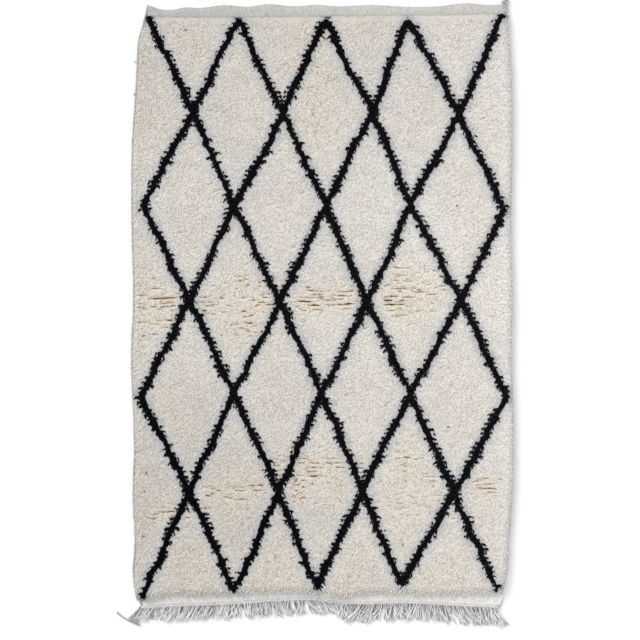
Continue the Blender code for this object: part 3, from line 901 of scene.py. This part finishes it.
def make_weave(material):
    """The ground weave: a thin closed sheet on the whole plan, its ends softly rippled.

    Both faces are one grid of the plan, joined round the outline by a row of faces. The upper one
    is raised by soft noise that grows with the distance past the pile."""
    rows = np.concatenate([np.linspace(0.0, 0.03, 6), np.linspace(0.03, 0.97, 64)[1:-1],
                           np.linspace(0.97, 1.0, 6)])[:, None]
    nominal = between(-1.192, 1.200, rows)
    left = side_at(LEFT_SIDE, nominal) + WEAVE_INSET
    right = side_at(RIGHT_SIDE, nominal) - WEAVE_INSET
    x = between(left, right, np.linspace(0.0, 1.0, 84))
    y = between(end_at(BOTTOM_END, x), end_at(TOP_END, x), rows)
    past_top = y - end_at(PILE_TOP, x)
    past_bottom = end_at(PILE_BOTTOM, x) - y
    ripple = 0.0022 * (soft_noise(x, y, 0.055, 61) + 0.5) + 0.0010 * soft_noise(x, y, 0.018, 62)
    grown = np.clip(past_top / 0.03, 0.0, 1.0) + 0.5 * np.clip(past_bottom / 0.04, 0.0, 1.0)
    upper = np.stack([x, y, WEAVE_THICKNESS + grown * np.maximum(ripple, 0.0)], axis=-1).reshape(-1, 3)
    lower = np.stack([x, y, np.full_like(x, FLOOR_GAP)], axis=-1).reshape(-1, 3)
    count = len(upper)
    faces = grid_faces(*x.shape)
    rim = rim_of(x.shape)
    after = np.roll(rim, -1)
    walls = np.stack([rim, rim + count, after + count, after], axis=1)
    # The weave's painted light and shade: lighter to the right, lighter next to the pile against its shade,
    # darker along the plain end's edge, and the plain end darker than the fringe end
    by_edge = np.exp(-(np.maximum(end_at(TOP_END, x) - y, 0.0) / 0.006) ** 2)
    by_top = np.exp(-np.maximum(past_top, 0.0) / 0.012)
    by_bottom = np.exp(-np.maximum(past_bottom, 0.0) / 0.010)
    at_plain_end = 0.88 + 0.07 * np.tanh(3.0 * (x + 0.2)) + 0.05 * by_top - 0.16 * by_edge
    at_fringe = 1.24 + 0.06 * np.tanh(3.0 * x) + 0.14 * by_bottom
    shade = np.where(y > 0.0, at_plain_end, at_fringe) + 0.03 * soft_noise(x, y, 0.06, 63)
    return add_piece(
        "ground_weave", np.concatenate([upper, lower]), [faces, faces[:, ::-1] + count, walls], material,
        "warp_wool", line_distance=np.tile(lattice_distance(x, y).ravel(), 2),
        underside=np.repeat([0.0, 1.0], count), shade=np.tile(shade.ravel(), 2))


def make_bed(material):
    """The felted lower pile: a height field a little under the tips, uneven by soft noise, and down
    to the weave at its rim. One face closes it below."""
    row_share = np.linspace(0.0, 1.0, KNOT_ROWS * 2 + 1)[:, None]
    knot_share = np.linspace(0.0, 1.0, 110)[None, :]
    row_share, knot_share = np.broadcast_arrays(row_share, knot_share)
    x, y, from_side, from_end = pile_place(row_share, knot_share, BED_INSET)
    height = pile_top(x, y, from_side, from_end) - BED_DEPTH + 0.0004 * soft_noise(x, y, 0.012, 64)
    height = np.maximum(height, WEAVE_THICKNESS + 0.0005)
    edge = (from_side <= 1e-9) | (row_share <= 0.0) | (row_share >= 1.0)
    height = np.where(edge, WEAVE_THICKNESS - 0.001, height)
    points = np.stack([x, y, height], axis=-1).reshape(-1, 3)
    underside = rim_of(x.shape)[::-1][None, :]
    distance = lattice_distance(x, y) + LINE_HALF_WIDTH * (1.0 - line_share(x, y))
    return add_piece(
        "pile_bed", points, [grid_faces(*x.shape), underside], material, "cream_pile_wool",
        line_distance=distance, depth=np.zeros_like(x), warmth=warm_patches(x, y), tone=wool_tone_and_light(x, y),
        soil=soiled(x, y) + line_shade(distance), beside_line=cooled(x, y, distance))


def tuft_strands():
    """Every tuft's ends as arrays: root, heading across the plan, reach, heights and tones, with
    which of them are black.

    A tuft has three ends in cream wool and five in black. An end rises out of the bed and lies over
    towards the fringe, turned aside by an angle, the fan: heading = (sin fan, -cos fan). The cream
    ends are felted out of their rows, fan to either side, and fan away from a line beside them. The
    black ones keep to their rows, and those near the edge of a line fan out of it as short teeth.
    The outermost ends lean out over the selvedge.
    """
    chance = np.random.default_rng([SEED, 70])
    shape = (KNOT_ROWS, KNOTS_IN_ROW, 5)
    row = np.broadcast_to(np.arange(KNOT_ROWS)[:, None, None], shape)
    knot = np.arange(KNOTS_IN_ROW)[:, None]
    end = np.array([-1.0, 0.0, 1.0, -0.5, 0.5])
    only_black = np.broadcast_to(np.arange(5) > 2, shape)
    knot_share = (knot + 0.5 + end * 0.33 + chance.uniform(-0.25, 0.25, shape)) / KNOTS_IN_ROW
    knot_share = np.clip(knot_share, 0.0, 1.0)
    tight = pile_place((row + 0.5 + chance.uniform(-0.13, 0.13, shape)) / KNOT_ROWS, knot_share, PILE_INSET)
    loose = pile_place((row + 0.5 + chance.uniform(-0.5, 0.5, shape)) / KNOT_ROWS, knot_share, PILE_INSET)

    # A line's edge: its half width, with a step in each row for every lump of tufts on each side
    to_right = lattice_distance(tight[0] + 0.001, tight[1]) > lattice_distance(tight[0] - 0.001, tight[1])
    lumps = np.random.default_rng([SEED, 76]).uniform(-1.0, 1.0, (2, KNOT_ROWS, 64))
    lump = lumps[to_right.astype(int), row, np.floor((tight[0] + 0.8) / LUMP_WIDTH).astype(int) % 64]
    uneven = LUMP_DEPTH * lump + chance.normal(0.0, 0.0020, shape)
    edge = line_half_width(tight[0], tight[1]) + line_share(tight[0], tight[1]) * uneven

    # Distances are taken where the lying end shows, a little nearer the fringe than its knot
    knot_y = pile_place((row + 0.5) / KNOT_ROWS, knot_share, PILE_INSET)[1]
    tight_distance = lattice_distance(tight[0], knot_y - 0.007)
    loose_distance = lattice_distance(loose[0], loose[1] - 0.004)
    black = tight_distance < edge
    use_loose = ~black & (loose_distance > edge + 0.002)
    x, y, from_side, from_end = [np.where(use_loose, far, near) for near, far in zip(tight, loose)]
    distance = np.where(use_loose, loose_distance, tight_distance)
    away = np.sign(lattice_distance(x + 0.001, y - 0.006) - lattice_distance(x - 0.001, y - 0.006))
    by_line = np.clip(1.0 - (distance - LINE_HALF_WIDTH) / 0.016, 0.0, 1.0)

    random_side = np.where(chance.uniform(size=shape) < 0.5, -1.0, 1.0)
    fan = random_side * np.abs(chance.normal(0.0, 0.75, shape))
    fan = between(fan, away * chance.uniform(0.7, 1.3, shape), by_line)
    fan = np.where(black, random_side * chance.uniform(0.0, 0.7, shape), fan)
    tooth = black & (distance > 0.38 * edge) & (chance.uniform(size=shape) < TOOTH_CHANCE)
    fan = np.where(tooth, away * chance.uniform(0.1, 1.25, shape), fan)
    outward = np.clip(1.0 - from_side / 0.012, 0.0, 1.0)
    fan = between(fan, np.where(x < 0.0, -1.35, 1.35), outward * 0.8)
    heading_x = np.sin(fan)
    heading_y = -np.cos(fan)
    reach = CREAM_REACH * chance.uniform(0.7, 1.3, shape)
    tooth_share = (0.43 + 0.18 * lump) * chance.uniform(0.55, 1.45, shape)
    black_reach = BLACK_REACH * chance.uniform(0.75, 1.25, shape) * np.where(tooth, tooth_share, 1.0)
    reach = np.where(black, black_reach, reach)
    reach = np.where(outward > 0.0, np.minimum(reach, from_side + 0.005), reach)

    # Ends that would show over the line are black wool too
    over = lattice_distance(x + heading_x * reach * 0.6, y + heading_y * reach * 0.6)
    black = black | (over < line_share(x, y) * LINE_HALF_WIDTH - 0.0045)

    # Only cream ends are drawn back from the creases, so the black ones stand out of their way
    cream_only = np.where(black, -9.0, y)
    parted = part_strands(x.ravel().copy(), cream_only.ravel(), heading_y.ravel(), reach.ravel().copy())
    moved_x, moved_y, moved_reach, opened = [values.reshape(shape) for values in parted]
    x = np.where(black, x, moved_x)
    y = np.where(black, y, moved_y)
    reach = np.where(black, reach, moved_reach)

    tip_x = x + heading_x * reach
    tip_y = y + heading_y * reach
    lift = np.where(black, 0.0008, -0.0010 * by_line)
    top = pile_top(x, y, from_side + 0.004, from_end) + lift + chance.normal(0.0, 0.00016, shape)
    tip = pile_top(tip_x, tip_y, inside_sides(tip_x, tip_y), np.maximum(from_end, 0.004)) + lift
    tip = np.minimum(tip, top) - chance.uniform(0.0, 0.0004, shape)
    bend = reach * np.where(black, chance.uniform(-0.20, 0.20, shape), chance.uniform(-0.22, 0.22, shape))
    wider = np.where(black, BLACK_WIDER * (0.4 + 0.6 * line_share(x, y)), 1.0)
    facts = {
        "x": x, "y": y, "heading_x": heading_x, "heading_y": heading_y, "reach": reach, "bend": bend,
        "bluntness": np.where(black, 0.68, 0.5), "top": top, "tip": tip,
        "root": np.maximum(top - BED_DEPTH - 0.0006, WEAVE_THICKNESS - 0.001),
        "width": STRAND_HALF_WIDTH * chance.uniform(0.75, 1.25, shape) * wider,
        "tone": wool_tone_and_light(x, y) + chance.normal(0.0, 0.045, shape),
        "warmth": warm_patches(x, y) + chance.normal(0.0, 0.10, shape),
        "beside_line": cooled(x, y, distance),
        "opened": opened,
        # Painted light and shade from the ends and sides, and painted shade beside the lines
        "soil": soiled(x, y) + line_shade(distance),
    }
    kept = black | ~only_black
    return {name: np.broadcast_to(values, shape)[kept] for name, values in facts.items()}, black[kept]


def strand_mesh(facts):
    """Flat three-sided strands, each of two rings and a tip. Root, middle and tip lie at 0, the
    bluntness and 1 of the reach along the heading, the middle set aside by the bend; the middle is
    at the pile's top, and the tip droops from it. A ring is middle + half width * (1.15 cos a *
    side + STRAND_FLATTEN sin a * up), where side is level and square to the strand."""
    count = len(facts["x"])
    t = np.stack([np.zeros(count), facts["bluntness"], np.ones(count)], axis=1)
    forward = facts["reach"][:, None] * t
    aside = facts["bend"][:, None] * np.array([0.0, 1.0, 0.0])
    x = facts["x"][:, None] + facts["heading_x"][:, None] * forward - facts["heading_y"][:, None] * aside
    y = facts["y"][:, None] + facts["heading_y"][:, None] * forward + facts["heading_x"][:, None] * aside
    z = np.stack([facts["root"], facts["top"], facts["tip"]], axis=1)
    middle = np.stack([x, y, z], axis=-1)
    run = np.stack([middle[:, 1] - middle[:, 0], middle[:, 2] - middle[:, 0]], axis=1)
    run /= np.linalg.norm(run, axis=2, keepdims=True)
    side = np.stack([-run[..., 1], run[..., 0], np.zeros((count, 2))], axis=-1)
    side /= np.linalg.norm(side, axis=2, keepdims=True)
    up = np.cross(run, side)
    angle = np.array([0.5, 1.1666667, 1.8333333]) * np.pi
    girth = np.array([1.0, 0.95]) * facts["width"][:, None]
    ring = side[:, :, None, :] * np.cos(angle)[None, None, :, None] * 1.15
    ring = ring + up[:, :, None, :] * np.sin(angle)[None, None, :, None] * STRAND_FLATTEN
    rings = middle[:, :2, None, :] + ring * girth[:, :, None, None]
    points = np.concatenate([rings.reshape(count, 6, 3), middle[:, 2:]], axis=1)
    here = np.arange(3)
    tips = np.stack([3 + here, 3 + (here + 1) % 3, np.full(3, 6)], axis=1)
    offsets = (np.arange(count) * 7)[:, None, None]
    faces = [(grid_faces(2, 3, closed=True)[None] + offsets).reshape(-1, 4),
             (tips[None] + offsets).reshape(-1, 3)]
    # Painted shade at each strand's root ring, deeper where the pile is opened
    root_shade = np.repeat(np.array([0.12, 0.0, 0.0]), [3, 3, 1])
    labels = {name: np.repeat(facts[name], 7) for name in ("tone", "warmth", "beside_line", "soil")}
    labels["strand"] = np.repeat(np.arange(count) * GOLDEN_SHARE % 1.0, 7)
    labels["along"] = np.tile(np.repeat([0.0, 0.5, 1.0], [3, 3, 1]), count)
    labels["across"] = np.tile(np.array([0.0, -1.0, 1.0, 0.0, -1.0, 1.0, 0.0]), count)
    labels["depth"] = (root_shade[None, :] * (0.3 + 0.7 * facts["opened"][:, None])).ravel()
    return points.reshape(-1, 3), faces, labels


def make_tufts(cream_material, black_material):
    """The pile's strands, cream in four lengths of the rug and the black lattice in one."""
    facts, black = tuft_strands()
    lengths = np.array_split(np.flatnonzero(~black), 4)
    parts = [(f"cream_tufts_{number}", chosen, cream_material, "cream_pile_wool")
             for number, chosen in enumerate(lengths, 1)]
    parts.append(("lattice_tufts", black, black_material, "black_pile_wool"))
    made = []
    for name, chosen, material, slot in parts:
        points, faces, labels = strand_mesh({label: values[chosen] for label, values in facts.items()})
        made.append(add_piece(name, points, faces, material, slot, **labels))
    return made


def make_furrows(material):
    """The floor of every crease: a spindle, its half width w sqrt(1 - s^2) for s from -1 to 1 along
    it, uneven by about a quarter. Its middle line is lower and painted near black as the crease's
    shade, its rims tan and partly painted shade, and a second middle line closes it below."""
    chance = np.random.default_rng([SEED, 75])
    turns, depths = CREASES[3][:, None], CREASES[4][:, None]
    stations = 9
    s = np.linspace(-1.0, 1.0, stations)[None, :]
    x, y = crease_paths(s)
    half = (0.0011 + 0.0022 * depths) * (1.0 - s ** 2) ** 0.5 + 0.0002
    half = half * chance.uniform(0.7, 1.25, x.shape)
    top = pile_top(x, y, inside_sides(x, y) - SELVEDGE_WIDTH, np.full_like(x, 1.0))
    rim = top + 0.0001
    core = top - 0.0003
    aside_x = -half * np.sin(turns)
    aside_y = half * np.cos(turns)
    points = np.stack([
        np.stack([x + aside_x, y + aside_y, rim], axis=-1),
        np.stack([x, y, core], axis=-1),
        np.stack([x - aside_x, y - aside_y, rim], axis=-1),
        np.stack([x, y, core - 0.0015], axis=-1),
    ], axis=2).reshape(-1, 3)
    per_crease = stations * 4
    last = per_crease - 1
    walls = grid_faces(stations, 4, closed=True)[:, ::-1]
    faces = np.concatenate([walls, [[0, 1, 2, 3]], [[last, last - 1, last - 2, last - 3]]])
    offsets = (np.arange(len(x)) * per_crease)[:, None, None]
    # How dark each crease is painted, as the shade in it, broken into spots
    darkness = np.clip(0.30 + 0.70 * depths, 0.0, 1.0)[:, :, None]
    spots = np.clip(0.80 + 0.75 * soft_noise(x, y, 0.007, 52), 0.15, 1.2)[:, :, None]
    depth = np.array([0.35, 1.0, 0.35, 0.4]) * darkness * spots
    return add_piece(
        "parting_furrows", points, (faces[None] + offsets).reshape(-1, 4), material, "cream_pile_wool",
        line_distance=lattice_distance(points[:, 0], points[:, 1]), depth=depth,
        tone=np.full(len(points), 0.4), warmth=np.full(len(points), 0.9), soil=np.zeros(len(points)))


def make_flecks(material):
    """Tiny brown fibres caught in the pile, the plainest ones placed and the rest strewn about: each
    is 12 mm of a shallow cosine bow, times its size."""
    chance = np.random.default_rng([SEED, 78])
    placed = np.array([(-0.716, -0.120), (-0.712, -0.740), (-0.704, -0.668), (-0.716, -0.920),
                       (0.500, -0.484), (0.320, -0.952), (0.536, 0.400), (-0.548, 1.100),
                       (-0.750, 0.976), (-0.752, 0.844)])
    strewn = np.stack([chance.uniform(-0.72, 0.72, 70), chance.uniform(-1.12, 1.13, 70)], axis=1)
    start = np.concatenate([placed, strewn])
    count = len(start)
    size = np.where(np.arange(count) < len(placed), 1.0, chance.uniform(0.25, 0.6, count))[:, None]
    turn = chance.uniform(0.0, np.pi, count)[:, None]
    t = np.linspace(-0.5, 0.5, 5)[None, :]
    run = 0.012 * size * t
    bow = 0.002 * size * np.cos(np.pi * t)
    x = start[:, :1] + run * np.cos(turn) - bow * np.sin(turn)
    y = start[:, 1:] + run * np.sin(turn) + bow * np.cos(turn)
    z = pile_top(x, y, inside_sides(x, y), np.full_like(x, 1.0)) + 0.0008
    radii = 0.0016 * size * np.array([0.5, 0.9, 1.0, 0.9, 0.5])
    return add_yarns("brown_fibres", np.stack([x, y, z], axis=-1), radii, 4, material, 1.0,
                     slot="black_pile_wool")


def make_selvedges(material):
    """A wrapped cord along each side, its middle line half its width inside the plan's side."""
    made = []
    # The left cord is painted darker, as shade on that side, and the right one lighter, as light on it
    for name, table, inward, tone in (
        ("selvedge_left", LEFT_SIDE, 1.0, 0.40),
        ("selvedge_right", RIGHT_SIDE, -1.0, 1.10),
    ):
        y = np.linspace(-1.196, 1.196, 420)
        x = side_at(table, y) + inward * SELVEDGE_WIDTH * 0.5 + 0.0011 * soft_noise(y, y, 0.03, 81)
        path = np.stack([x, y, np.full_like(y, SELVEDGE_HEIGHT * 0.5 + FLOOR_GAP)], axis=-1)
        made.append(add_yarns(name, path[None], SELVEDGE_WIDTH * 0.5, 10, material, tone, axis=1,
                              turning=2.0 * np.pi / 0.0042, flatten=SELVEDGE_HEIGHT / SELVEDGE_WIDTH))
    return made


def make_fringe(material):
    """Loose warps in clumps: each leaves the seam, leans as its clump does, and lies on the floor.
    Every other one lies lower, is painted darker as shade under the upper ones, and is a little
    shorter. Near the seam all are painted darker as shade, and lighter towards their ends.

    Along a strand, t from 0 to 1: across = root + lean * t^1.3 + a pull towards the clump's middle
    + a slow bend, along = seam - length * t, height = a low arch that ends near the floor."""
    chance = np.random.default_rng([SEED, 90])
    count = FRINGE_STRANDS * 2
    upper = np.arange(count) % 2 == 1
    root = np.linspace(-0.724, 0.698, count) + chance.uniform(-0.0016, 0.0016, count)
    clump = np.floor(np.cumsum(chance.uniform(0.04, 0.26, count))).astype(int)
    clumps = clump.max() + 1
    middle = np.bincount(clump, root, clumps) / np.maximum(np.bincount(clump, minlength=clumps), 1)
    clump_lean = chance.normal(0.0, 0.017, clumps)
    clump_length = chance.uniform(0.90, 1.05, clumps)
    lean = smooth_through(FRINGE["across"], FRINGE["lean"], root) + clump_lean[clump]
    lean = lean + chance.normal(0.0, 0.0095, count)
    length = smooth_through(FRINGE["across"], FRINGE["length"], root) * clump_length[clump]
    length = length * chance.uniform(0.86, 1.07, count) * np.where(upper, 1.0, 0.93)
    stations, sides = 9, 5
    t = np.linspace(0.0, 1.0, stations)[None, :]
    pull = (middle[clump] - root)[:, None] * 0.35 * t ** 0.8
    bend = chance.normal(0.0, 0.0048, (count, 1)) * np.sin(np.pi * t * chance.uniform(0.8, 1.8, (count, 1)))
    x = root[:, None] + lean[:, None] * t ** 1.3 + pull + bend
    y = end_at(BOTTOM_END, root)[:, None] + 0.002 - length[:, None] * t
    arch = chance.uniform(0.001, 0.006, (count, 1)) * np.sin(np.pi * t) ** 0.8
    z = between(0.0042, 0.0022 + chance.uniform(0.0, 0.0030, (count, 1)), t) + arch
    z = np.where(upper[:, None], z, 0.0021 + 0.0010 * t)
    taper = np.interp(t[0], [0.0, 0.3, 0.85, 1.0], [0.78, 0.95, 1.25, 0.8])
    radii = FRINGE_RADIUS * chance.uniform(0.75, 1.25, (count, 1)) * taper[None, :]
    points, faces = tubes(np.stack([x, y, z], axis=-1), radii, sides)
    # The lower strands are painted darker, as shade under the upper ones
    shade = np.where(upper, chance.uniform(0.58, 1.0, count), chance.uniform(0.05, 0.42, count))
    step = np.concatenate([np.repeat(np.arange(stations), sides), [0, stations - 1]])
    turn = np.concatenate([np.tile(np.arange(sides), stations), [0, 0]]) * (2.0 * np.pi / sides)
    # Painted shade near the seam, lighter towards the ends
    seam_shade = np.interp(step, [0.0, 1.2, 3.5, 8.0], [-0.10, -0.12, 0.06, 0.30])
    tone = np.clip(shade[:, None] + seam_shade[None, :], 0.0, 1.0)
    twist = np.tile(step * 6.0 + turn, count)
    return add_piece("fringe_strands", points, faces, material, "warp_wool", tone=tone, twist=twist)


def make_seam(material):
    """The oversewn edge: slanting stitches, each a half sine arch over the weave's end."""
    chance = np.random.default_rng([SEED, 95])
    start = np.linspace(-0.722, 0.696, STITCHES) + chance.uniform(-0.0006, 0.0006, STITCHES)
    t = np.linspace(0.0, 1.0, 6)[None, :]
    x = start[:, None] + 0.0035 * t
    y = end_at(BOTTOM_END, start)[:, None] + 0.0045 - 0.0080 * t
    y = y + 0.0004 * chance.normal(size=(STITCHES, 1))
    z = 0.0030 + 0.0040 * np.sin(np.pi * np.clip(t * 0.95 + 0.05, 0.0, 1.0))
    paths = np.stack([x, y, np.broadcast_to(z, x.shape)], axis=-1)
    return add_yarns("seam_stitches", paths, 0.0015, 5, material, 1.15, axis=1, turning=1500.0)


def make_corner_cord(material):
    """Two plies wound round each other along the loose cord: each ply's middle line is the cord's
    path plus a small circle that turns as it goes, wider at both ends."""
    stations = 60
    along = np.linspace(0.0, 1.0, stations)
    knots = np.linspace(0.0, 1.0, len(CORNER_CORD))
    x = smooth_through(knots, CORNER_CORD["across"], along)
    y = smooth_through(knots, CORNER_CORD["along"], along)
    path = np.stack([x, y, np.full_like(x, 0.0042)], axis=-1)
    heading = np.gradient(path, axis=0)
    heading /= np.linalg.norm(heading, axis=1, keepdims=True)
    side = np.stack([-heading[:, 1], heading[:, 0], np.zeros(stations)], axis=1)
    turn = along * 2.0 * np.pi * 6.0 + np.array([[0.0], [np.pi]])
    spread = 0.0014 + 0.0010 * np.abs(2.0 * along - 1.0) ** 4
    paths = path + side * (np.cos(turn) * spread)[:, :, None]
    paths[:, :, 2] += np.sin(turn) * 0.0013
    return add_yarns("corner_cord", paths, 0.0015, 6, material, 0.35, axis=0, turning=2400.0)


def make_corner_strands(material):
    """A fan of strands from the corner of the weave to the loose cord, each a straight run with a
    sine bow."""
    chance = np.random.default_rng([SEED, 97])
    count = 9
    share = np.linspace(0.0, 1.0, count)
    start_x = between(-0.732, -0.716, share)
    start_y = between(-1.202, -1.206, share)
    end_x = between(-0.776, -0.738, share) + chance.normal(0.0, 0.001, count)
    end_y = smooth_through(CORNER_CORD["across"], CORNER_CORD["along"], end_x) + 0.001
    start = np.stack([start_x, start_y, np.full(count, 0.004)], axis=1)
    end = np.stack([end_x, end_y, np.full(count, 0.0035)], axis=1)
    t = np.linspace(0.0, 1.0, 9)[None, :, None]
    paths = between(start[:, None], end[:, None], t)
    paths[:, :, 0] += chance.normal(0.0, 0.002, (count, 1)) * np.sin(np.pi * t[:, :, 0])
    tones = chance.uniform(0.1, 0.8, count)
    return add_yarns("corner_strands", paths, 0.0012, 5, material, tones, axis=1, turning=2400.0)


def make_seam_loop(material):
    """A small loop of the sewing yarn pulled out of the seam: an egg-shaped ring, closed by running
    on under its own start."""
    turn = np.linspace(0.0, 2.0 * np.pi, 25)[:-1]
    x = -0.312 + 0.0085 * np.sin(turn) * (1.0 - 0.45 * np.cos(turn))
    y = -1.164 + 0.0110 * np.cos(turn)
    path = np.stack([x, y, 0.0075 + 0.001 * np.cos(turn)], axis=-1)
    path = np.concatenate([path, path[:2] - [0.0, 0.0, 0.0012]])
    return add_yarns("seam_loop", path[None], 0.0017, 6, material, 1.0, axis=0, turning=1500.0)


def make_corner_tuft(material):
    """The selvedge's end at the plain end's corner: six yarns twisted up past the weave's edge, each
    a helix round one path that opens towards its end."""
    along = np.linspace(0.0, 1.0, 40)
    knots = np.array([0.0, 0.35, 0.7, 1.0])
    x = smooth_through(knots, np.array([0.738, 0.732, 0.726, 0.728]), along)
    y = smooth_through(knots, np.array([1.150, 1.180, 1.204, 1.226]), along)
    ply = np.arange(6)[:, None]
    turn = along * 2.0 * np.pi * 1.9 + ply * 2.0 * np.pi / 6.0
    spread = 0.0040 + 0.0100 * along ** 1.6
    paths = np.stack([x + np.cos(turn) * spread, y + 0.002 * ply, 0.0072 + np.sin(turn) * 0.0028], axis=-1)
    tones = [0.30, 0.75, 0.10, 0.60, 0.20, 0.85]
    return add_yarns("corner_tuft", paths, 0.0022, 7, material, tones, axis=1, turning=1800.0)


# ---------------------------------------------------------------- stage, light and camera


def make_stage():
    """A plain near-white floor under the rug."""
    floor = bpy.data.meshes.new("floor")
    floor.from_pydata([(-30, -30, 0), (30, -30, 0), (30, 30, 0), (-30, 30, 0)], [], [(0, 1, 2, 3)])
    material = bpy.data.materials.new("floor_paint")
    material.use_nodes = True
    shader = material.node_tree.nodes["Principled BSDF"]
    shader.inputs["Base Color"].default_value = (0.92, 0.92, 0.92, 1.0)
    shader.inputs["Roughness"].default_value = 0.95
    shader.inputs["Specular IOR Level"].default_value = 0.0
    floor.materials.append(material)
    piece = bpy.data.objects.new("floor", floor)
    bpy.context.scene.collection.objects.link(piece)


def make_lights():
    """A bright even sky, and a soft key from the upper left that gives the rug its shadow."""
    world = bpy.data.worlds.new("studio")
    bpy.context.scene.world = world
    world.use_nodes = True
    background = world.node_tree.nodes["Background"]
    background.inputs["Color"].default_value = (1.0, 1.0, 1.0, 1.0)
    background.inputs["Strength"].default_value = 0.81
    data = bpy.data.lights.new("key", "SUN")
    data.energy = 2.35
    data.angle = np.radians(24.0)
    lamp = bpy.data.objects.new("key", data)
    lamp.rotation_euler = (np.radians(65.0), 0.0, np.radians(222.0))
    bpy.context.scene.collection.objects.link(lamp)


def make_camera():
    """Straight above, the rug's length up the picture, from far enough to be nearly parallel."""
    data = bpy.data.cameras.new("camera")
    height = 9.0
    seen = 2.56
    data.sensor_width = 36.0
    data.lens = 36.0 * height / seen
    camera = bpy.data.objects.new("camera", data)
    camera.location = (-0.012 + SHIFT[0], -0.056 + SHIFT[1], height)
    bpy.context.scene.collection.objects.link(camera)
    bpy.context.scene.camera = camera


def build():
    """Make the materials and every piece, and set up the studio."""
    fibres = fibre_group()
    streak = streak_group()
    openings = opening_group()
    cream = cream_wool(fibres, streak, openings)
    black = black_wool(fibres, streak)
    bed = bed_wool(fibres, openings)
    weave = weave_material(fibres, openings)
    yarn = yarn_material(fibres, "warp_yarn", (0.16, 0.16, 0.165, 1.0), (0.84, 0.84, 0.85, 1.0))
    brown = yarn_material(fibres, "brown_fibre", (0.03, 0.02, 0.015, 1.0), (0.055, 0.035, 0.022, 1.0))
    ground = make_weave(weave)
    pile = [make_bed(bed), make_furrows(bed)] + make_tufts(cream, black) + [make_flecks(brown)]
    edges = make_selvedges(yarn)
    loose = [make_fringe(yarn), make_seam(yarn), make_corner_cord(yarn), make_corner_strands(yarn),
             make_corner_tuft(yarn), make_seam_loop(yarn)]
    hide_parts("pile_rug")
    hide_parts("warp_fringe")
    make_stage()
    make_lights()
    make_camera()
    bpy.context.scene.view_settings.view_transform = "Standard"


build()
